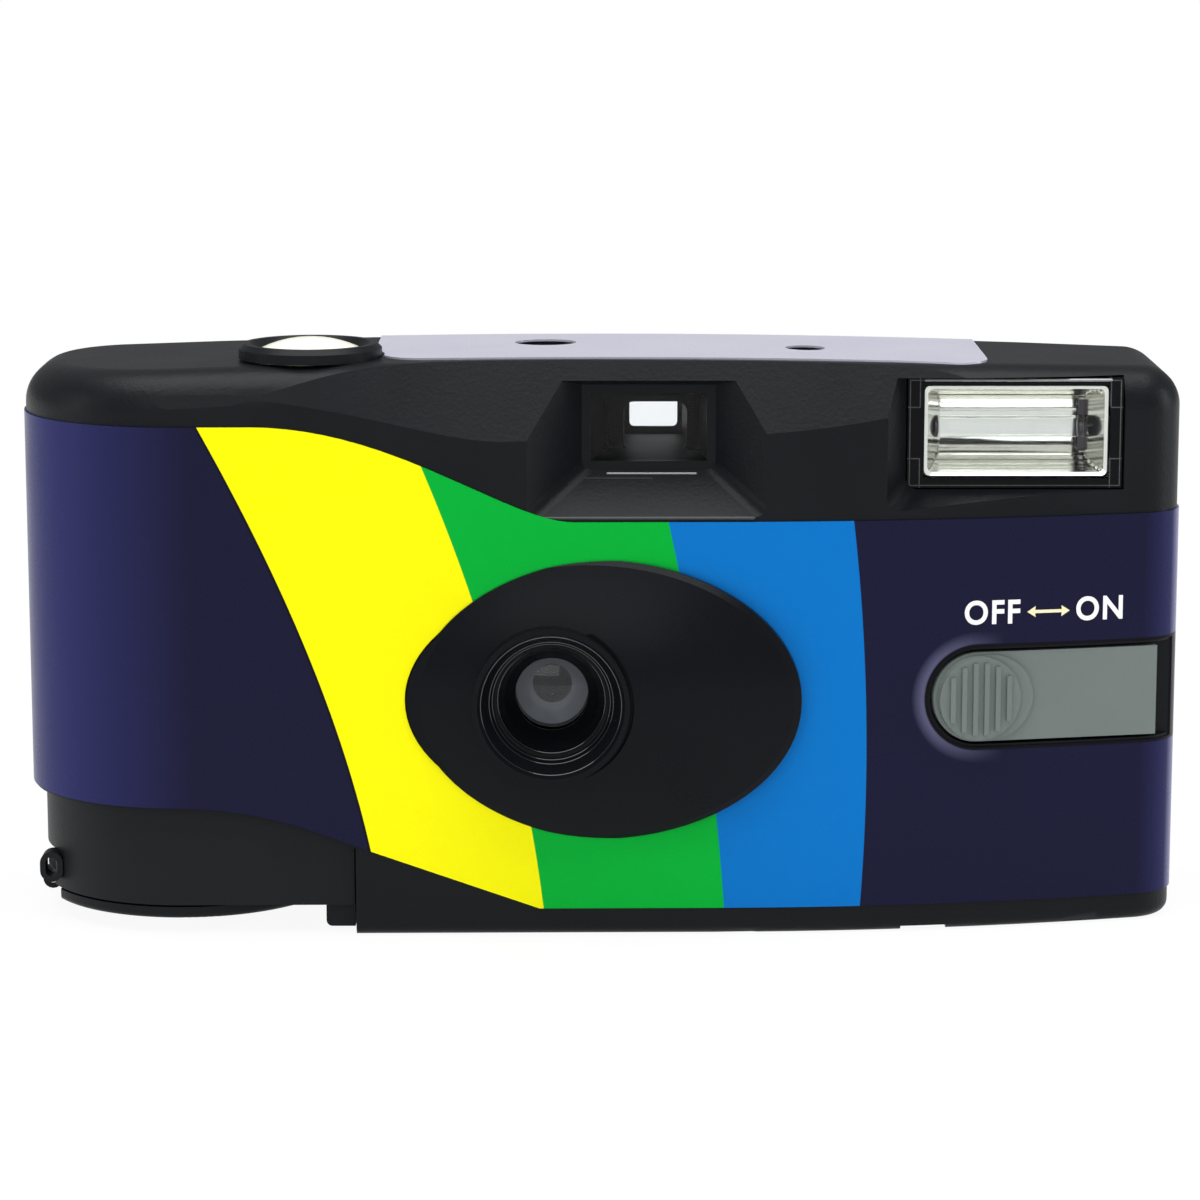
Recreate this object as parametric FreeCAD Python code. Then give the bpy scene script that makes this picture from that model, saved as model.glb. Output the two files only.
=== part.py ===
import FreeCAD, Part
import math
import os

# A single-use 35 mm film camera with a built-in flash.
# X runs to the right as seen from the front, Y runs from the front to the
# back, Z is up. The origin is under the middle of the camera, on the surface
# that it stands on. All lengths are millimetres.

V = FreeCAD.Vector

# Overall sizes
width = 116.0
body_height = 57.0
depth = 34.0
label_skin = 0.2
half_width = width / 2 - label_skin
rear_y = depth / 2
lens_bulge = 4.5
front_y = -rear_y + lens_bulge + label_skin
wall = 1.3
split_y = -0.6
overrun = 5.0
recess_overrun = 1.0
recess_corner_radius = 1.5
rest_gap = 0.3
shaft_gap = 0.05
fit_gap = 0.15

# Plan outline of the body: a round grip at the left, a long shallow arc in front
grip_radius = 16.0
grip_x = -half_width + grip_radius
grip_y = 3.0
front_radius = 180.0
front_apex_x = 9.0
front_corner_radius = 5.0
rear_right_radius = 4.0
rear_left_radius = 9.0

# Edges and crown of the body
crown_radius = 1250.0
top_edge_radius = 4.0
bottom_edge_radius = 1.2

# Sloped band above the label
slope_left_x = -36.0
slope_right_x = -8.0
slope_steps = 5
slope_left_setback = 0.6
slope_right_setback = 4.2
slope_left_z = 55.0
slope_right_z = 50.0

# Outline of the printed label, seen from the front
label_high_z = 51.0
label_shoulder_left_x = -34.0
label_shoulder_pull_left = 14.0
label_shoulder_pull_right = 6.5
label_shoulder_right_x = -2.5
label_low_top_z = 41.6
label_left_bottom_z = 13.1
label_step_left_x = -43.0
label_step_pull_left = 10.0
label_step_pull_right = 6.2
label_step_pull_drop = 2.14
label_step_x = -22.8
label_step_z = 8.7
label_toe_x = -6.0
label_bottom_z = 2.8
label_wrap_y = 9.0
label_edge_gap = 0.25

# Lower left corner, where both covers stop and the film chamber shows
cutout_x = -24.2
rear_cutout_x = -26.9
foot_left_x = -27.3
foot_gap = 0.2
end_wall_x = -26.6
end_wall_top_z = 9.4
foot_front_y = -10.8
foot_length = 9.2
foot_bottom_z = 0.5
foot_height = 3.0
foot_round = 0.6
link_length = 6.0
bottom_notch_left_x = 30.0
bottom_notch_width = 4.6
bottom_notch_depth = 0.5

# Film: 35 mm wide, wound back into its cassette
film_width = 35.0
film_thickness = 0.15
film_plane_y = 13.1
frame_width = 36.0
frame_height = 24.0
lens_x = -4.77
lens_z = 24.1
film_bottom_z = lens_z - film_width / 2
perforation_width = 2.0
perforation_height = 2.8
perforation_pitch = 4.75
perforation_edge = 2.0

# Film cassette and its chamber
cassette_radius = 12.5
cassette_lip_start = 3.125
cassette_wall = 0.35
cassette_bottom_z = 4.2
cassette_length = 39.6
cap_rim = 2.2
cap_thickness = 0.5
chamber_clearance = 0.6
chamber_wall = 1.2
chamber_radius = cassette_radius + chamber_clearance
chamber_bottom_z = 2.9
chamber_skirt_radius = 14.9
chamber_open_z = label_left_bottom_z + label_edge_gap
chamber_open_y = 7.0
deck_z = 46.3
deck_thickness = 1.2
deck_top_z = deck_z + deck_thickness
film_slot_margin = 0.5
film_slot_front_y = 11.0
film_slot_reach = 8.0
cassette_lip_reach = 5.0
cassette_lip_thickness = 1.5
felt_thickness = 0.4
spool_core_radius = 5.4
spool_flange_radius = 10.6
spool_flange_thickness = 0.9
spool_bore_radius = 2.8
spool_end_clearance = 0.5

# Film door under the cassette
door_thickness = 1.2
door_gap = 0.2
door_hinge_x = -55.8
door_hinge_z = 3.0
door_knuckle_radius = 1.0
door_pin_radius = 0.45
door_knuckle_length = 4.4
door_lug_length = 2.0
door_lug_gap = 0.3
door_end_x = -27.7
eyelet_x = -55.4
eyelet_z = 5.2
eyelet_y = -4.5
eyelet_rise = 0.4
eyelet_radius = 1.15
eyelet_hole_radius = 0.6
eyelet_width = 2.0
eyelet_relief_x = -54.8
eyelet_relief_bottom_z = 4.4
eyelet_relief_height = 2.3
eyelet_relief_depth = 1.3

# Film gate, light cone and lens seat
gate_left_x = grip_x + cassette_radius / 2 + cassette_lip_reach + rest_gap
gate_right_x = 16.4
gate_bottom_z = 3.2
gate_top_z = 43.4
gate_thickness = 1.2
gate_front_y = film_plane_y - gate_thickness - shaft_gap
cone_margin = 1.4
cone_wall = 1.0
cone_front_half = 6.0
front_plate_y = -4.7
front_plate_thickness = 1.2
front_plate_left_x = -17.0
front_plate_right_x = 7.4
front_plate_bottom_z = 12.4
front_plate_top_z = 42.0
neck_width = 3.0

# Supply side, where the unexposed film waits
supply_x = 24.5
supply_y = 5.0
roll_radius = 7.8
supply_clearance = 0.8
supply_wall = 1.0
supply_core_radius = 3.6
supply_flange_radius = 7.4
supply_flange_thickness = 0.8
supply_pin_radius = 1.6
supply_open_y = 9.0

# Decks of the chassis
deck_left_x = -30.0
deck_right_x = 35.0
deck_front_y = -6.4
deck_rear_y = 13.0
base_z = 2.0
base_thickness = 1.2

# Lens panel: an oval dome with a stepped funnel round the lens
panel_x = -0.9
panel_z = 23.9
panel_half_width = 20.7
panel_half_height = 14.05
panel_rim_y = -13.1
panel_rise = 3.5
panel_skirt = 4.5
panel_rim_round = 0.5
panel_lip = 2.4
panel_wall = 1.2
panel_hollow_y = -12.9
panel_plug_end_y = -9.2
funnel_groove_radius = 8.1
funnel_groove_width = 0.45
funnel_groove_reach = 1.35
funnel_mouth_radius = 7.2
funnel_lip_radius = 7.7
funnel_step_radius = 5.65
funnel_step_y = -14.2
funnel_step_drop = 0.5
funnel_step_width = 0.3
funnel_inner_radius = 4.65
funnel_inner_y = -12.2
funnel_floor_y = -10.6
lens_opening_radius = 3.64
boss_radius = 7.0
boss_end_y = -8.9

# Taking lens and shutter
lens_radius = 4.3
lens_front_y = -10.3
lens_edge_thickness = 1.1
lens_bulge_front = 0.9
retainer_radius = 6.0
retainer_bore = 3.3
retainer_thickness = 1.7
plate_y = -6.4
plate_thickness = 0.8
plate_left_x = -16.6
plate_right_x = 7.0
plate_bottom_z = 13.0
plate_top_z = 36.0
aperture_radius = 1.6
blade_y = -5.3
blade_thickness = 0.3
blade_pivot_x = -13.2
blade_pivot_z = 31.0
blade_pivot_radius = 0.9
blade_hub_radius = 2.0
blade_disc_radius = 3.4
blade_arm_width = 2.4
blade_tail_length = 7.4
blade_tail_width = 1.8
blade_spring_radius = 1.7
blade_spring_wall = 0.4
blade_spring_stand = 1.6
spring_leg = 0.4
spring_leg_length = 4.0

# Shutter release on the top deck
lever_gap = 0.4
lever_thickness = 1.2
pivot_radius = 0.9
pivot_height = 3.6
lever_hub_radius = 2.1
metering_x = -21.6
metering_y = -1.6
metering_arm_x = -26.57
metering_arm_y = -3.39
metering_nose_y = 2.3
metering_peg_radius = 0.5
metering_peg_height = 0.8
lever_width = 1.8
striker_x = -11.6
striker_y = 1.5
striker_arm_x = -16.6
striker_arm_y = -1.0
striker_nose_x = -11.4
striker_nose_y = -4.9
striker_finger_width = 1.2
striker_finger_end_z = 37.0
striker_slot_left = 4.8
striker_slot_right = 1.4
striker_slot_rear = 2.4
striker_slot_drop = 0.5
spring_sleeve_radius = 1.6
spring_sleeve_wall = 0.4
spring_sleeve_height = 1.3

# Shutter button and its collar
button_x = -28.7
button_y = -3.5
button_radius = 5.25
button_skirt_z = 57.5
button_dome_height = 1.25
button_flange_radius = 5.8
button_flange_bottom_z = 55.5
button_flange_thickness = 0.9
button_hole_radius = 6.1
collar_radius = 7.1
collar_bore = 5.5
collar_seat_z = 56.75
collar_height = 1.45
collar_round = 0.5
stem_x = -25.8
stem_y = -4.5
stem_radius = 1.25
stem_tip_radius = 0.4
stem_tip_length = 1.1
stem_end_z = 49.5

# Film advance
wheel_radius = 14.0
wheel_bottom_z = 49.2
wheel_thickness = 3.6
wheel_notches = 48
wheel_notch_depth = 0.5
wheel_notch_share = 0.5
wheel_dish_radius = 10.5
wheel_dish_depth = 1.0
wheel_hub_radius = 3.6
wheel_shaft_radius = 3.0
wheel_fork_radius = 2.5
wheel_fork_end_z = 36.0
wheel_fork_slot = 1.4
wheel_fork_slot_length = 4.0
pawl_x = -27.0
pawl_y = 10.5
pawl_thickness = 0.8
pawl_height = 2.2
pawl_post_radius = 1.3
sprocket_x = -21.0
sprocket_teeth = 8
sprocket_radius = sprocket_teeth * perforation_pitch / (2 * math.pi)
sprocket_body_drop = 1.2
sprocket_y = film_plane_y - sprocket_radius
sprocket_height = 2.4
perforation_middle_z = film_bottom_z + film_width - perforation_edge - perforation_height / 2
sprocket_bottom_z = perforation_middle_z - sprocket_height / 2
sprocket_tooth_width = 1.3
sprocket_tooth_tip = 0.65
sprocket_shaft_radius = 0.9
sprocket_hub_radius = 2.2
sprocket_hub_height = 3.4
sprocket_top_z = 53.0
cam_radius = 3.6
cam_bottom_z = 49.6
cam_thickness = 1.2
cam_notch_width = 1.6
cam_notch_depth = 1.4
finger_reach = 1.45
finger_width = 0.8
counter_x = -15.39
counter_y = 4.1
counter_radius = 10.9
counter_z = 53.5
counter_thickness = 0.7
counter_teeth = 36
counter_gear_radius = 4.6
counter_tooth_depth = 0.4
counter_gear_z = 51.6
counter_gear_height = 1.4
counter_pin_radius = 1.0
counter_hub_radius = 2.0

# Windows in the top
counter_window_x = -5.5
counter_window_y = 5.3
counter_window_half_width = 3.1
counter_window_half_depth = 2.5
window_thickness = 0.7
window_flange = 0.9
lamp_x = 20.6
lamp_y = 1.85
lamp_window_radius = 2.0
lamp_radius = 1.6
lamp_length = 6.2

# Label on the top
top_label_left_x = -19.5
top_label_right_x = 38.4
top_label_front_y = -7.2
top_label_rear_y = 12.8
top_label_corner = 4.0
top_label_tip_x = -22.5
top_label_tip_y = 4.6

# Viewfinder
finder_x = 4.8
finder_window_half_width = 6.6
finder_lens_hollow_radius = 19.8
finder_window_bottom_z = 46.0
finder_window_top_z = 54.5
finder_window_y = -7.4
finder_mouth_left_x = -6.9
finder_mouth_right_x = 16.4
finder_mouth_bottom_z = 42.0
finder_mouth_top_z = 55.3
finder_wall = 0.9
finder_lens_thickness = 1.2
finder_rear_y = 15.1
eye_x = 5.65
eye_half_width = 4.2
eye_lens_radius = 16.8
eye_bottom_z = 45.6
eye_top_z = 52.3
eye_open_half_width = 2.9
eye_open_bottom_z = 47.2
eye_open_top_z = 50.9
eye_open_round = 0.6
eye_lens_thickness = 1.4
eye_bezel_depth = 0.8
eye_bezel_margin = 1.6
finder_foot_width = 1.4
finder_foot_thickness = 0.9
finder_foot_length = 6.0

# Flash
flash_left_x = 30.2
flash_right_x = 51.7
flash_bottom_z = 44.0
flash_top_z = 55.2
flash_window_y = -6.8
flash_mouth_left_x = 27.6
flash_mouth_right_x = 52.6
flash_mouth_bottom_z = 41.9
flash_mouth_top_z = 55.5
flash_mouth_drop_right = 2.4
flash_wall = 0.9
flash_cover_thickness = 0.9
flash_cover_depth = 3.2
reflector_left_x = 32.0
reflector_right_x = 49.9
reflector_bottom_z = 45.3
reflector_top_z = 53.9
reflector_front_y = -5.4
reflector_depth = 6.2
reflector_wall = 0.4
reflector_back_half = 1.7
tube_radius = 1.1
tube_y = -1.6
electrode_radius = 0.9
electrode_length = 2.2
tube_end_clearance = 0.8
board_left_x = 35.4
board_right_x = 56.3
board_step_x = 45.0
board_y = 2.4
board_thickness = 1.0
board_bottom_z = 5.0
board_step_z = 31.8
board_top_z = 44.4
capacitor_x = 39.8
capacitor_y = 0.9
capacitor_radius = 4.9
capacitor_bottom_z = 3.6
capacitor_length = 26.6
capacitor_groove_z = 7.0
capacitor_groove_depth = 0.4
capacitor_groove_height = 1.0
transformer_x = 51.2
transformer_width = 8.0
transformer_depth = 5.6
transformer_bottom_z = 6.4
transformer_height = 9.6
transformer_core_width = 4.0
transformer_core_extra = 1.0
coil_left_x = 45.2
coil_length = 9.0
coil_radius = 1.9
coil_z = 36.4
coil_flange = 0.5
coil_flange_thickness = 0.8
sync_x = 10.2
sync_width = 2.4
sync_thickness = 0.3
sync_bottom_z = 30.0
sync_height = 9.0
sync_foot = 2.6

# Flash switch on the right
switch_left_x = 32.6
switch_bottom_z = 18.9
switch_top_z = 28.5
switch_ref_left_x = 33.0
switch_ref_right_x = 56.0
switch_floor = 1.5
switch_floor_wall = 1.2
switch_frame = 1.4
switch_travel = 6.0
switch_gap = 0.3
switch_plate_proud = 0.3
knob_x = 37.3
knob_radius = 4.15
knob_height = 1.1
knob_ribs = 6
knob_rib_width = 0.5
knob_rib_height = 0.35
knob_rib_pitch = 1.15
knob_collar_offset = 1.4
knob_collar_height = 0.5
tongue_end_x = 55.5
tongue_margin = 0.3
switch_stem_width = 2.0
switch_stem_height = 2.4
switch_foot_width = 3.0
switch_foot_height = 5.0
switch_foot_thickness = 0.8
contact_leaf = 0.3
contact_width = 3.0
contact_height = 6.0
contact_reach = 7.2

# Battery and its door
battery_x = 50.2
battery_y = 9.0
battery_radius = 5.25
battery_bottom_z = 4.0
battery_length = 43.2
battery_nub_radius = 1.9
battery_nub_height = 1.0
contact_plate = 0.4
contact_plate_half = 4.0
battery_door_left_x = 43.6
battery_door_right_x = 56.0
battery_door_front_y = 3.4
battery_door_rear_y = 14.4
battery_hinge_z = 1.6
battery_hinge_inset = 0.5
battery_door_thickness = 1.1
battery_door_recess = 0.2
battery_knuckle_radius = 1.1
battery_pin_radius = 0.45
battery_lug_length = 1.2
battery_lug_bottom_z = 0.8

# Rear cover
scoop_x = -42.0
scoop_half_width = 12.4
scoop_depth = 3.2
scoop_bottom_z = 45.4
scoop_top_z = 54.0
scoop_slope = 2.6
scoop_top_slope = 0.5
wheel_slot_gap = 0.5
rear_panel_left_x = -22.0
rear_panel_right_x = 36.0
rear_panel_bottom_z = 6.0
rear_panel_top_z = 41.0
rear_panel_depth = 0.5
rear_panel_corner = 4.0
pressure_rail_width = 1.6
pressure_rail_left_x = -24.0
pressure_rail_right_x = 15.0


def box(x0, x1, y0, y1, z0, z1):
    return Part.makeBox(x1 - x0, y1 - y0, z1 - z0, V(x0, y0, z0))


def rod_z(x, y, z0, z1, r):
    return Part.makeCylinder(r, z1 - z0, V(x, y, z0), V(0, 0, 1))


def rod_y(x, z, y0, y1, r):
    return Part.makeCylinder(r, y1 - y0, V(x, y0, z), V(0, 1, 0))


def rod_x(y, z, x0, x1, r):
    return Part.makeCylinder(r, x1 - x0, V(x0, y, z), V(1, 0, 0))


def ring_z(x, y, z0, z1, r_out, r_in):
    return rod_z(x, y, z0, z1, r_out).cut(rod_z(x, y, z0 - overrun, z1 + overrun, r_in))


def ring_y(x, z, y0, y1, r_out, r_in):
    return rod_y(x, z, y0, y1, r_out).cut(rod_y(x, z, y0 - overrun, y1 + overrun, r_in))


def joined(shapes):
    whole = shapes[0]
    for shape in shapes[1:]:
        whole = whole.fuse(shape)
    return whole.removeSplitter()


def carved(shape, cutters):
    for cutter in cutters:
        shape = shape.cut(cutter)
    return shape


def polygon(points):
    return Part.Face(Part.makePolygon(list(points) + [points[0]]))


def prism_z(points, z0, z1):
    return polygon([V(x, y, z0) for x, y in points]).extrude(V(0, 0, z1 - z0))


def prism_x(points, x0, x1):
    return polygon([V(x0, y, z) for y, z in points]).extrude(V(x1 - x0, 0, 0))


def turned_y(profile, x, z):
    """Revolve points given as (radius, y) about the line through x, z along Y."""
    face = polygon([V(x + r, y, z) for r, y in profile])
    return face.revolve(V(x, 0, z), V(0, 1, 0), 360)


def turned_z(profile, x, y):
    """Revolve points given as (radius, z) about the upright line through x, y."""
    face = polygon([V(x + r, y, z) for r, z in profile])
    return face.revolve(V(x, y, 0), V(0, 0, 1), 360)


def line(a, b):
    return Part.LineSegment(a, b).toShape()


def bezier(points):
    curve = Part.BezierCurve()
    curve.setPoles(points)
    return curve.toShape()


def on_circle(centre, radius, angle):
    return V(centre[0] + radius * math.cos(angle), centre[1] + radius * math.sin(angle), 0)


def arm(x0, y0, x1, y1, z0, z1, size):
    """A flat bar between two round ends, lying level."""
    length = math.hypot(x1 - x0, y1 - y0)
    bar = Part.makeBox(length, size, z1 - z0, V(0, -size / 2, 0))
    bar.rotate(V(0, 0, 0), V(0, 0, 1), math.degrees(math.atan2(y1 - y0, x1 - x0)))
    bar.translate(V(x0, y0, z0))
    return joined([bar, rod_z(x1, y1, z0, z1, size / 2)])


def rounded_box(x0, x1, y0, y1, z0, z1, radius, axis):
    """A box whose four edges along one axis are rounded."""
    shape = box(x0, x1, y0, y1, z0, z1)
    edges = [e for e in shape.Edges if abs(e.tangentAt(e.FirstParameter).dot(axis)) > 1 / 2]
    return shape.makeFillet(radius, edges)


def saved(name, shape):
    solids = shape.Solids
    shape = solids[0] if len(solids) == 1 else Part.makeCompound(solids)
    shape.exportStep("parts/" + name + ".step")
    print(name, len(solids), round(shape.Volume), shape.isValid())


# Body form: shared by the covers, the label and everything that follows them

front_centre = (front_apex_x, front_y + front_radius)
grip_centre = (grip_x, grip_y)


def shared_normal_angle():
    """Direction of the flat that touches both the grip and the front arc."""
    dx = front_centre[0] - grip_centre[0]
    dy = front_centre[1] - grip_centre[1]
    distance = math.hypot(dx, dy)
    return math.atan2(dy, dx) - math.acos(-(front_radius - grip_radius) / distance)


def front_surface_y(x):
    return front_centre[1] - math.sqrt(front_radius ** 2 - (x - front_apex_x) ** 2)


def body_outline(inset):
    flat = shared_normal_angle()
    corner_x = half_width - front_corner_radius
    reach = front_radius - front_corner_radius
    corner_y = front_centre[1] - math.sqrt(reach ** 2 - (corner_x - front_apex_x) ** 2)
    corner = (corner_x, corner_y)
    corner_angle = math.atan2(corner_y - front_centre[1], corner_x - front_apex_x)
    arc_radius = front_radius - inset
    grip_end = on_circle(grip_centre, grip_radius - inset, flat)
    arc_start = on_circle(front_centre, arc_radius, flat)
    arc_end = on_circle(front_centre, arc_radius, corner_angle)
    arc_middle = on_circle(front_centre, arc_radius, (flat + corner_angle) / 2)
    corner_middle = on_circle(corner, front_corner_radius - inset, corner_angle / 2)
    side_front = V(half_width - inset, corner_y, 0)
    side_rear = V(half_width - inset, rear_y - rear_right_radius, 0)
    rear_right = (half_width - rear_right_radius, rear_y - rear_right_radius)
    rear_left = (-half_width + rear_left_radius, rear_y - rear_left_radius)
    right_middle = on_circle(rear_right, rear_right_radius - inset, math.pi / 4)
    left_middle = on_circle(rear_left, rear_left_radius - inset, math.pi * 3 / 4)
    back_right = V(rear_right[0], rear_y - inset, 0)
    back_left = V(rear_left[0], rear_y - inset, 0)
    left_rear = V(-half_width + inset, rear_left[1], 0)
    left_front = V(-half_width + inset, grip_y, 0)
    grip_middle = on_circle(grip_centre, grip_radius - inset, (flat - math.pi) / 2)
    return Part.Wire([
        line(grip_end, arc_start),
        Part.Arc(arc_start, arc_middle, arc_end).toShape(),
        Part.Arc(arc_end, corner_middle, side_front).toShape(),
        line(side_front, side_rear),
        Part.Arc(side_rear, right_middle, back_right).toShape(),
        line(back_right, back_left),
        Part.Arc(back_left, left_middle, left_rear).toShape(),
        line(left_rear, left_front),
        Part.Arc(left_front, grip_middle, grip_end).toShape(),
    ])


def slope_section(x, setback, crease_z, inset):
    """The triangle that is cut from the top of the front at one place."""
    low = V(x, front_y + inset, crease_z)
    high = V(x, front_y + inset + setback, body_height)
    along = (high - low).normalize()
    bottom = low - along * body_height
    top = high + along * wall * overrun
    ahead = -depth
    points = [bottom, top, V(x, ahead, top.z), V(x, ahead, bottom.z)]
    return Part.makePolygon(points + [bottom])


def slope_cutter(inset):
    sections = []
    for step in range(slope_steps):
        part = step / (slope_steps - 1)
        ease = (1 - math.cos(math.pi * part)) / 2
        x = slope_left_x + part * (slope_right_x - slope_left_x)
        setback = slope_left_setback + ease * (slope_right_setback - slope_left_setback)
        crease = slope_left_z + ease * (slope_right_z - slope_left_z)
        sections.append(slope_section(x, setback, crease, inset))
    reach = width
    left = slope_section(slope_left_x - reach, slope_left_setback, slope_left_z, inset)
    right = slope_section(slope_right_x, slope_right_setback, slope_right_z, inset)
    return [
        Part.Face(left).extrude(V(reach, 0, 0)),
        Part.makeLoft(sections, True, False),
        Part.Face(right).extrude(V(reach, 0, 0)),
    ]


def body_form(inset):
    """The outer form of the camera, drawn in by an inset."""
    shape = Part.Face(body_outline(inset)).extrude(V(0, 0, body_height + overrun))
    shape.translate(V(0, 0, inset))
    crown_middle = V(0, -half_width, body_height - crown_radius)
    dome = Part.makeCylinder(crown_radius - inset, width, crown_middle, V(0, 1, 0))
    shape = shape.common(dome)
    top_round = top_edge_radius - inset
    top_edges = [e for e in shape.Edges if min(v.Z for v in e.Vertexes) > body_height - top_edge_radius]
    shape = shape.makeFillet(top_round, top_edges)
    bottom_round = bottom_edge_radius - inset
    if bottom_round > rest_gap:
        low = [e for e in shape.Edges if e.BoundBox.ZMax < inset + shaft_gap]
        shape = shape.makeFillet(bottom_round, low)
    for cutter in slope_cutter(inset):
        shape = shape.cut(cutter)
    return shape


outer_form = body_form(0)
inner_form = body_form(wall)


def outer():
    """A fresh copy each time, since a cut may alter the shape that it uses."""
    return outer_form.copy()


def front_half(shape):
    return shape.common(box(-width, width, -depth, split_y, -depth, width))


def rear_half(shape):
    return shape.common(box(-width, width, split_y, depth, -depth, width))


# Front outline of the label and of the corner that the covers leave open

def lower_edge_points():
    """Poles of the curve along the label's lower left edge."""
    return [
        (label_step_left_x, label_left_bottom_z),
        (label_step_left_x + label_step_pull_left, label_left_bottom_z),
        (label_step_x - label_step_pull_right, label_step_z + label_step_pull_drop),
        (label_step_x, label_step_z),
    ]


def lower_left_face(drop):
    """Everything below the label's lower left edge, moved down by a drop."""
    poles = [V(x, -depth, z - drop) for x, z in lower_edge_points()]
    start_low = V(-width, -depth, -depth)
    start_high = V(-width, -depth, label_left_bottom_z - drop)
    end_low = V(label_step_x, -depth, -depth)
    wire = Part.Wire([
        line(start_low, start_high),
        line(start_high, poles[0]),
        bezier(poles),
        line(poles[3], end_low),
        line(end_low, start_low),
    ])
    return Part.Face(wire)


def corner_region(drop):
    return lower_left_face(drop).extrude(V(0, depth + depth, 0))


def corner_cutout(limit_x):
    """The open lower left corner of a cover, as far right as a limit."""
    return corner_region(label_edge_gap).common(box(-width, limit_x, -depth, depth, -depth, width))


def label_face():
    shoulder = [
        V(label_shoulder_left_x, -depth, label_high_z),
        V(label_shoulder_left_x + label_shoulder_pull_left, -depth, label_high_z),
        V(label_shoulder_right_x - label_shoulder_pull_right, -depth, label_low_top_z),
        V(label_shoulder_right_x, -depth, label_low_top_z),
    ]
    step = [V(x, -depth, z) for x, z in lower_edge_points()]
    top_left = V(-width, -depth, label_high_z)
    top_right = V(width, -depth, label_low_top_z)
    bottom_right = V(width, -depth, label_bottom_z)
    toe = V(label_toe_x, -depth, label_bottom_z)
    bottom_left = V(-width, -depth, label_left_bottom_z)
    return Part.Face(Part.Wire([
        line(top_left, shoulder[0]),
        bezier(shoulder),
        line(shoulder[3], top_right),
        line(top_right, bottom_right),
        line(bottom_right, toe),
        line(toe, step[3]),
        bezier(list(reversed(step))),
        line(step[0], bottom_left),
        line(bottom_left, top_left),
    ]))


# Recesses in the front

def frustum(near, near_y, far, far_y):
    """A straight-sided funnel between two four-cornered outlines."""
    sections = []
    for corners, y in ((near, near_y), (far, far_y)):
        sections.append(Part.makePolygon([V(x, y, z) for x, z in corners + corners[:1]]))
    return Part.makeLoft(sections, True, True)


def stretched(inner, outer, share):
    """Carry the four corners of a funnel on past its outer outline."""
    return [(a + (b - a) * share, c + (d - c) * share) for (a, c), (b, d) in zip(inner, outer)]


def grown(corners, margin):
    signs = ((-1, -1), (1, -1), (1, 1), (-1, 1))
    return [(x + sx * margin, z + sz * margin) for (x, z), (sx, sz) in zip(corners, signs)]


finder_inner = [
    (finder_x - finder_window_half_width, finder_window_bottom_z),
    (finder_x + finder_window_half_width, finder_window_bottom_z),
    (finder_x + finder_window_half_width, finder_window_top_z),
    (finder_x - finder_window_half_width, finder_window_top_z),
]
finder_outer = [
    (finder_mouth_left_x, finder_mouth_bottom_z),
    (finder_mouth_right_x, finder_mouth_bottom_z),
    (finder_mouth_right_x, finder_mouth_top_z + (finder_mouth_top_z - finder_window_top_z)),
    (finder_mouth_left_x, finder_mouth_top_z + (finder_mouth_top_z - finder_window_top_z)),
]
flash_inner = [
    (flash_left_x, flash_bottom_z),
    (flash_right_x, flash_bottom_z),
    (flash_right_x, flash_top_z),
    (flash_left_x, flash_top_z),
]
flash_outer = [
    (flash_mouth_left_x, flash_mouth_bottom_z),
    (flash_mouth_right_x, flash_mouth_bottom_z + flash_mouth_drop_right),
    (flash_mouth_right_x, flash_mouth_top_z),
    (flash_mouth_left_x, flash_mouth_top_z),
]


def recess(inner, outer, window_y, margin):
    return frustum(grown(inner, margin), window_y + margin, grown(outer, margin), front_y - margin)


def recess_opening(inner, outer, window_y):
    """The open funnel, carried on past the front, with its two lower corners rounded."""
    past_y = front_y - recess_overrun
    share = (window_y - past_y) / (window_y - front_y)
    shape = frustum(inner, window_y, stretched(inner, outer, share), past_y)
    low_z = (inner[0][1] + outer[0][1]) / 2
    corners = [e for e in shape.Edges if e.BoundBox.YLength > overrun and e.BoundBox.ZMin < low_z]
    return shape.makeFillet(recess_corner_radius, corners)


def through_window(corners, y0, y1, margin):
    (x0, z0), (x1, z1) = corners[0], corners[2]
    return box(x0 - margin, x1 + margin, y0, y1, z0 - margin, z1 + margin)


# Flash switch: its own straight run along the curved front

switch_left_y = front_surface_y(switch_ref_left_x)
switch_right_y = front_surface_y(switch_ref_right_x)
switch_angle = math.atan2(switch_right_y - switch_left_y, switch_ref_right_x - switch_ref_left_x)
switch_middle_z = (switch_bottom_z + switch_top_z) / 2


def placed_switch(shape):
    """Carry a shape from the switch's own frame, where the front is at Y 0."""
    shape.rotate(V(0, 0, 0), V(0, 0, 1), math.degrees(switch_angle))
    shape.translate(V(switch_ref_left_x, switch_left_y, 0))
    return shape


def switch_run(x):
    return (x - switch_ref_left_x) / math.cos(switch_angle)


def switch_slot(margin, front, back):
    """The slot outline with its round left end, between two depths."""
    radius = (switch_top_z - switch_bottom_z) / 2 + margin
    centre = switch_run(switch_left_x) + radius - margin
    slot = joined([
        rod_y(centre, switch_middle_z, front, back, radius),
        box(centre, centre + half_width, front, back, switch_middle_z - radius, switch_middle_z + radius),
    ])
    return placed_switch(slot)


def stem_slot():
    centre = switch_run(knob_x)
    half = switch_stem_width / 2 + switch_gap
    high = switch_stem_height / 2 + switch_gap
    slot = box(centre - half, centre + switch_travel + half, 0, switch_floor + overrun,
               switch_middle_z - high, switch_middle_z + high)
    return placed_switch(slot)


# Covers

battery_hinge_x = battery_door_left_x + battery_knuckle_radius + battery_hinge_inset


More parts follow.
